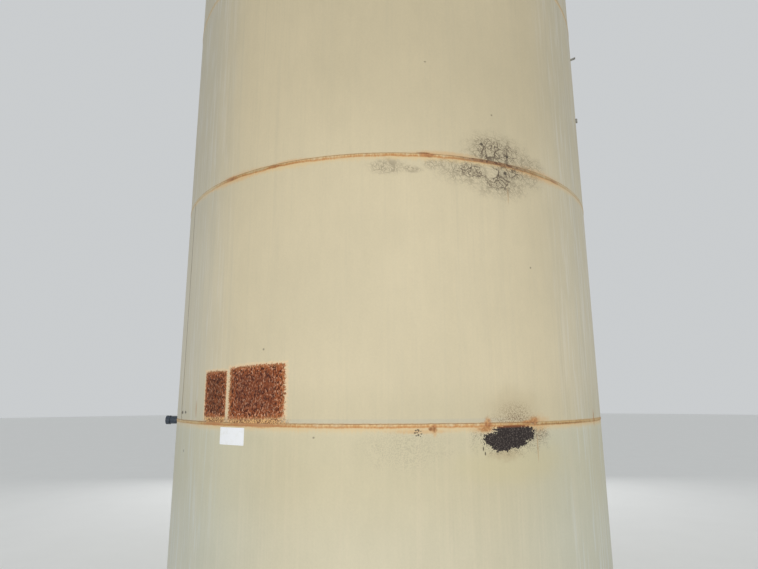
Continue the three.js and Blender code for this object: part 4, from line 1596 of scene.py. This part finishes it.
# painted shade: the beads above 2 m are darker, as the shell is towards the top
colour = tint(colour, high_up, (0.94, 0.96, 0.97))
colour = lay_marks(colour, spot, GRIMY_BEAD, (0.8, 24, 0.5), 0.6, linear(134, 108, 82))
colour = lay(colour, times(fade(aside, 1.0, 1.4), high_up), 0.5, paint["Colour"])
dashed = fade(noise(place, 42, 2), 0.47, 0.56)
colour = lay_marks(colour, spot, DARK_DASHES, (0.6, 20, 0.3), 0.75, linear(84, 54, 42), through=dashed)
colour = lay_marks(colour, spot, SQUARES_FEET, (0.8, 40, 0.4), 0.8, linear(184, 128, 84))
colour = lay_marks(colour, spot, SCORCHED_BEAD, (1.0, 60, 0.3), 0.85, linear(136, 82, 50))
dress(colour, None, noise(place, 240, 3, 0.6), 0.0008)
print("material:", rusty_bead.name, len(tree.nodes), "nodes")

# %% [markdown]
# ## The fittings
# Fittings have the same cream paint, with rust where it has gone. The flanges on the back are yellow-brown
# with light rust, the manway cover and the vent plug are dark rust, and the clips are grey steel. One
# recipe makes them all, from the share of paint that has gone, how rough the piece is, the paint's colour
# and three colours of rust.

# %% Painted and rusted fittings
FITTINGS = {
    "fitting_cream_paint": (0.10, 0.7, (206, 196, 166), (132, 84, 54), (178, 126, 80), (208, 168, 116)),
    "fitting_weld": (0.60, 0.7, (210, 188, 148), (150, 98, 62), (192, 140, 90), (216, 178, 126)),
    "yellow_rust": (0.42, 0.7, (222, 196, 146), (158, 100, 58), (202, 148, 88), (226, 188, 128)),
    "dark_rust": (0.85, 0.85, (124, 92, 70), (66, 42, 34), (104, 66, 48), (146, 96, 66)),
    "grey_steel": (0.25, 0.6, (150, 151, 148), (74, 64, 58), (100, 90, 82), (134, 120, 108)),
}


def fitting_material(name, rust_share, roughness, *colours):
    base, dark, main, light = (linear(*colour) for colour in colours)
    material, place = new_material(name, roughness)
    paint = use(weathered, Vector=place, Fresh=base, Faded=base, Streaks=0.4)
    rust = use(rust_grain, Vector=place, Scale=1.6, Dark=dark, Main=main, Light=light)
    gone = fade(noise(place, 11.0, 6, 0.68), 0.66 - 0.5 * rust_share, 0.78 - 0.5 * rust_share)
    colour = mix(gone, paint["Colour"], rust["Colour"])
    dress(colour, None, calc("ADD", paint["Height"], rust["Height"]), 0.0006)
    return material


fitting_paint, plain_weld, yellow_rust, dark_rust, grey_steel = (
    fitting_material(name, *values) for name, values in FITTINGS.items()
)
print("fitting materials:", len(FITTINGS))

# %% [markdown]
# ## Small finishes
# The coupling's plug is tarnished bare steel, the nipple dark blue-grey enamel worn through to brown in
# places, the gasket black rubber, and the tag white film with a little dirt and dust.

# %% Steel, enamel, rubber and film
bare_steel, place = new_material("bare_steel", 0.5, 0.75, 0.5)
tarnish = noise(place, 60, 4, 0.6)
colour = mix(fade(tarnish, 0.3, 0.7), linear(128, 126, 122), linear(164, 160, 152))
dress(colour, fade(tarnish, 0.2, 0.8, 0.42, 0.66), tarnish, 0.0004)

enamel, place = new_material("blue_grey_enamel", 0.32, 0.0, 0.5)
wear = noise(place, 40, 5, 0.65)
colour = mix(fade(wear, 0.35, 0.65), linear(44, 54, 66), linear(66, 76, 90))
colour = mix(fade(wear, 0.68, 0.74), colour, linear(120, 96, 76))
dress(colour, fade(wear, 0.3, 0.7, 0.28, 0.5), wear, 0.0005)

rubber, place = new_material("gasket_rubber", 0.85)
crumbs = noise(place, 150, 3)
dress(mix(crumbs, linear(30, 29, 28), linear(62, 58, 54)), None, crumbs, 0.0003)

film, place = new_material("white_film", 0.38, 0.0, 0.5)
dirt = noise(place, 28, 5, 0.6)
dust = fade(noise(place, 190, 2, 0.6), 0.66, 0.78, 0.0, 0.35)
colour = mix(fade(dirt, 0.45, 0.8, 0.0, 0.5), linear(247, 248, 250), linear(228, 226, 218))
dress(mix(dust, colour, linear(180, 176, 168)), fade(dirt, 0.3, 0.7, 0.34, 0.5), dirt, 0.0003)
print("small finishes ready")

# %% [markdown]
# ## Putting it together
# Each piece gets its finish, rides on the tank's one body, and, where it stands for a CAD node, takes that
# node's place.

# %% Assign, ride and replace
def finish_piece(piece, material, slot, *nodes):
    piece.data.materials.clear()
    piece.data.materials.append(material)
    settle(piece)
    if nodes:
        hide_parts(*nodes)
    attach(piece, "root")


for index, (plate, node) in enumerate(shell_plates):
    finish_piece(plate, shell_materials[index // 2], "cream_paint", node)
for index, bead in enumerate(upright_beads):
    finish_piece(bead, shell_materials[index // 2], "cream_paint")
for bead, node in girth_beads:
    finish_piece(bead, rusty_bead, "rusty_weld", node)
finish_piece(roof_bead, plain_weld, "rusty_weld", "roof_weld")
for weld in (*lug_welds, *nozzle_welds, *pad_welds, *manway_welds, vent_weld, nipple_weld):
    finish_piece(weld, plain_weld, "rusty_weld")

painted = {
    "roof_back": roof_back,
    "roof_front": roof_front,
    "bottom_plate": bottom,
    "upper_nozzle_neck": upper_neck,
    "outlet_neck": outlet_neck,
    "outlet_pad": outlet_pad,
    "manway_neck": manway_neck,
    "vent_coupling": vent_sleeve,
    **{node: plate for plate, node in lug_plates},
}
yellow = {
    "upper_nozzle_flange": upper_flange,
    "outlet_flange": outlet_flange,
    "coupling_pad": coupling_pad,
    "lower_coupling": coupling,
}
dark = {"manway_flange": manway_flange, "manway_cover": cover, "vent_plug": vent_plug}
for material, slot, pieces in (
    (fitting_paint, "cream_paint", painted),
    (yellow_rust, "yellow_rust", yellow),
    (dark_rust, "dark_rust", dark),
    (grey_steel, "dark_rust", {"upper_clip": upper_clip, "lower_clip": lower_clip}),
    (enamel, "dark_paint", {"side_nipple": nipple, "side_cap": cap}),
    (bare_steel, "bare_steel", {"coupling_plug": plug}),
):
    for node, piece in pieces.items():
        finish_piece(piece, material, slot, node)
for bolt in bolts:
    finish_piece(bolt, dark_rust, "dark_rust")
finish_piece(gasket, rubber, "dark_rust")
finish_piece(tag, film, "cream_paint")

# %% [markdown]
# ## Floor and light
# The studio has a plain pale floor and soft light: a pale surround that reaches every side, and a wide, low
# soft panel in front and behind. The front one stands behind the camera and makes the middle of the front
# the brightest part, as the photograph's open sky does. The panels themselves don't show from any side.

# %% Floor
clear()
bpy.ops.mesh.primitive_circle_add(vertices=96, radius=60.0, fill_type="TRIFAN", location=(0, 0, -0.002))
floor = settle(named("studio_floor"))
floor_material, place = new_material("pale_floor", 0.9, 0.0, 0.2)
dress(mix(noise(place, 2.0, 4), linear(234, 234, 232), linear(239, 239, 237)))
floor.data.materials.append(floor_material)
print("floor radius 60 m")


# %% Light
def panel(name, place, width, height, power):
    """A soft panel that faces the tank's axis at its own height."""
    bpy.ops.object.light_add(type="AREA", location=place)
    light = bpy.context.object
    light.name = light.data.name = name
    light.data.shape = "RECTANGLE"
    light.data.size, light.data.size_y = width, height
    light.data.energy = power
    light.rotation_euler = (Vector((0, 0, place[2])) - Vector(place)).to_track_quat("-Z", "Y").to_euler()
    light.visible_camera = False


world = bpy.data.worlds.new("studio_world")
bpy.context.scene.world = world
world.use_nodes = True
sky = world.node_tree.nodes["Background"].inputs
sky["Color"].default_value = (0.95, 0.98, 1.0, 1.0)
sky["Strength"].default_value = 0.62
clear()
panel("front_panel", (-0.2, -6.3, 2.1), 9.0, 1.4, 130.0)
panel("back_panel", (0, 8.0, 3.2), 9.0, 2.5, 190.0)
bpy.context.scene.view_settings.view_transform = "Standard"
bpy.context.scene.view_settings.look = "None"
print("lights ready")
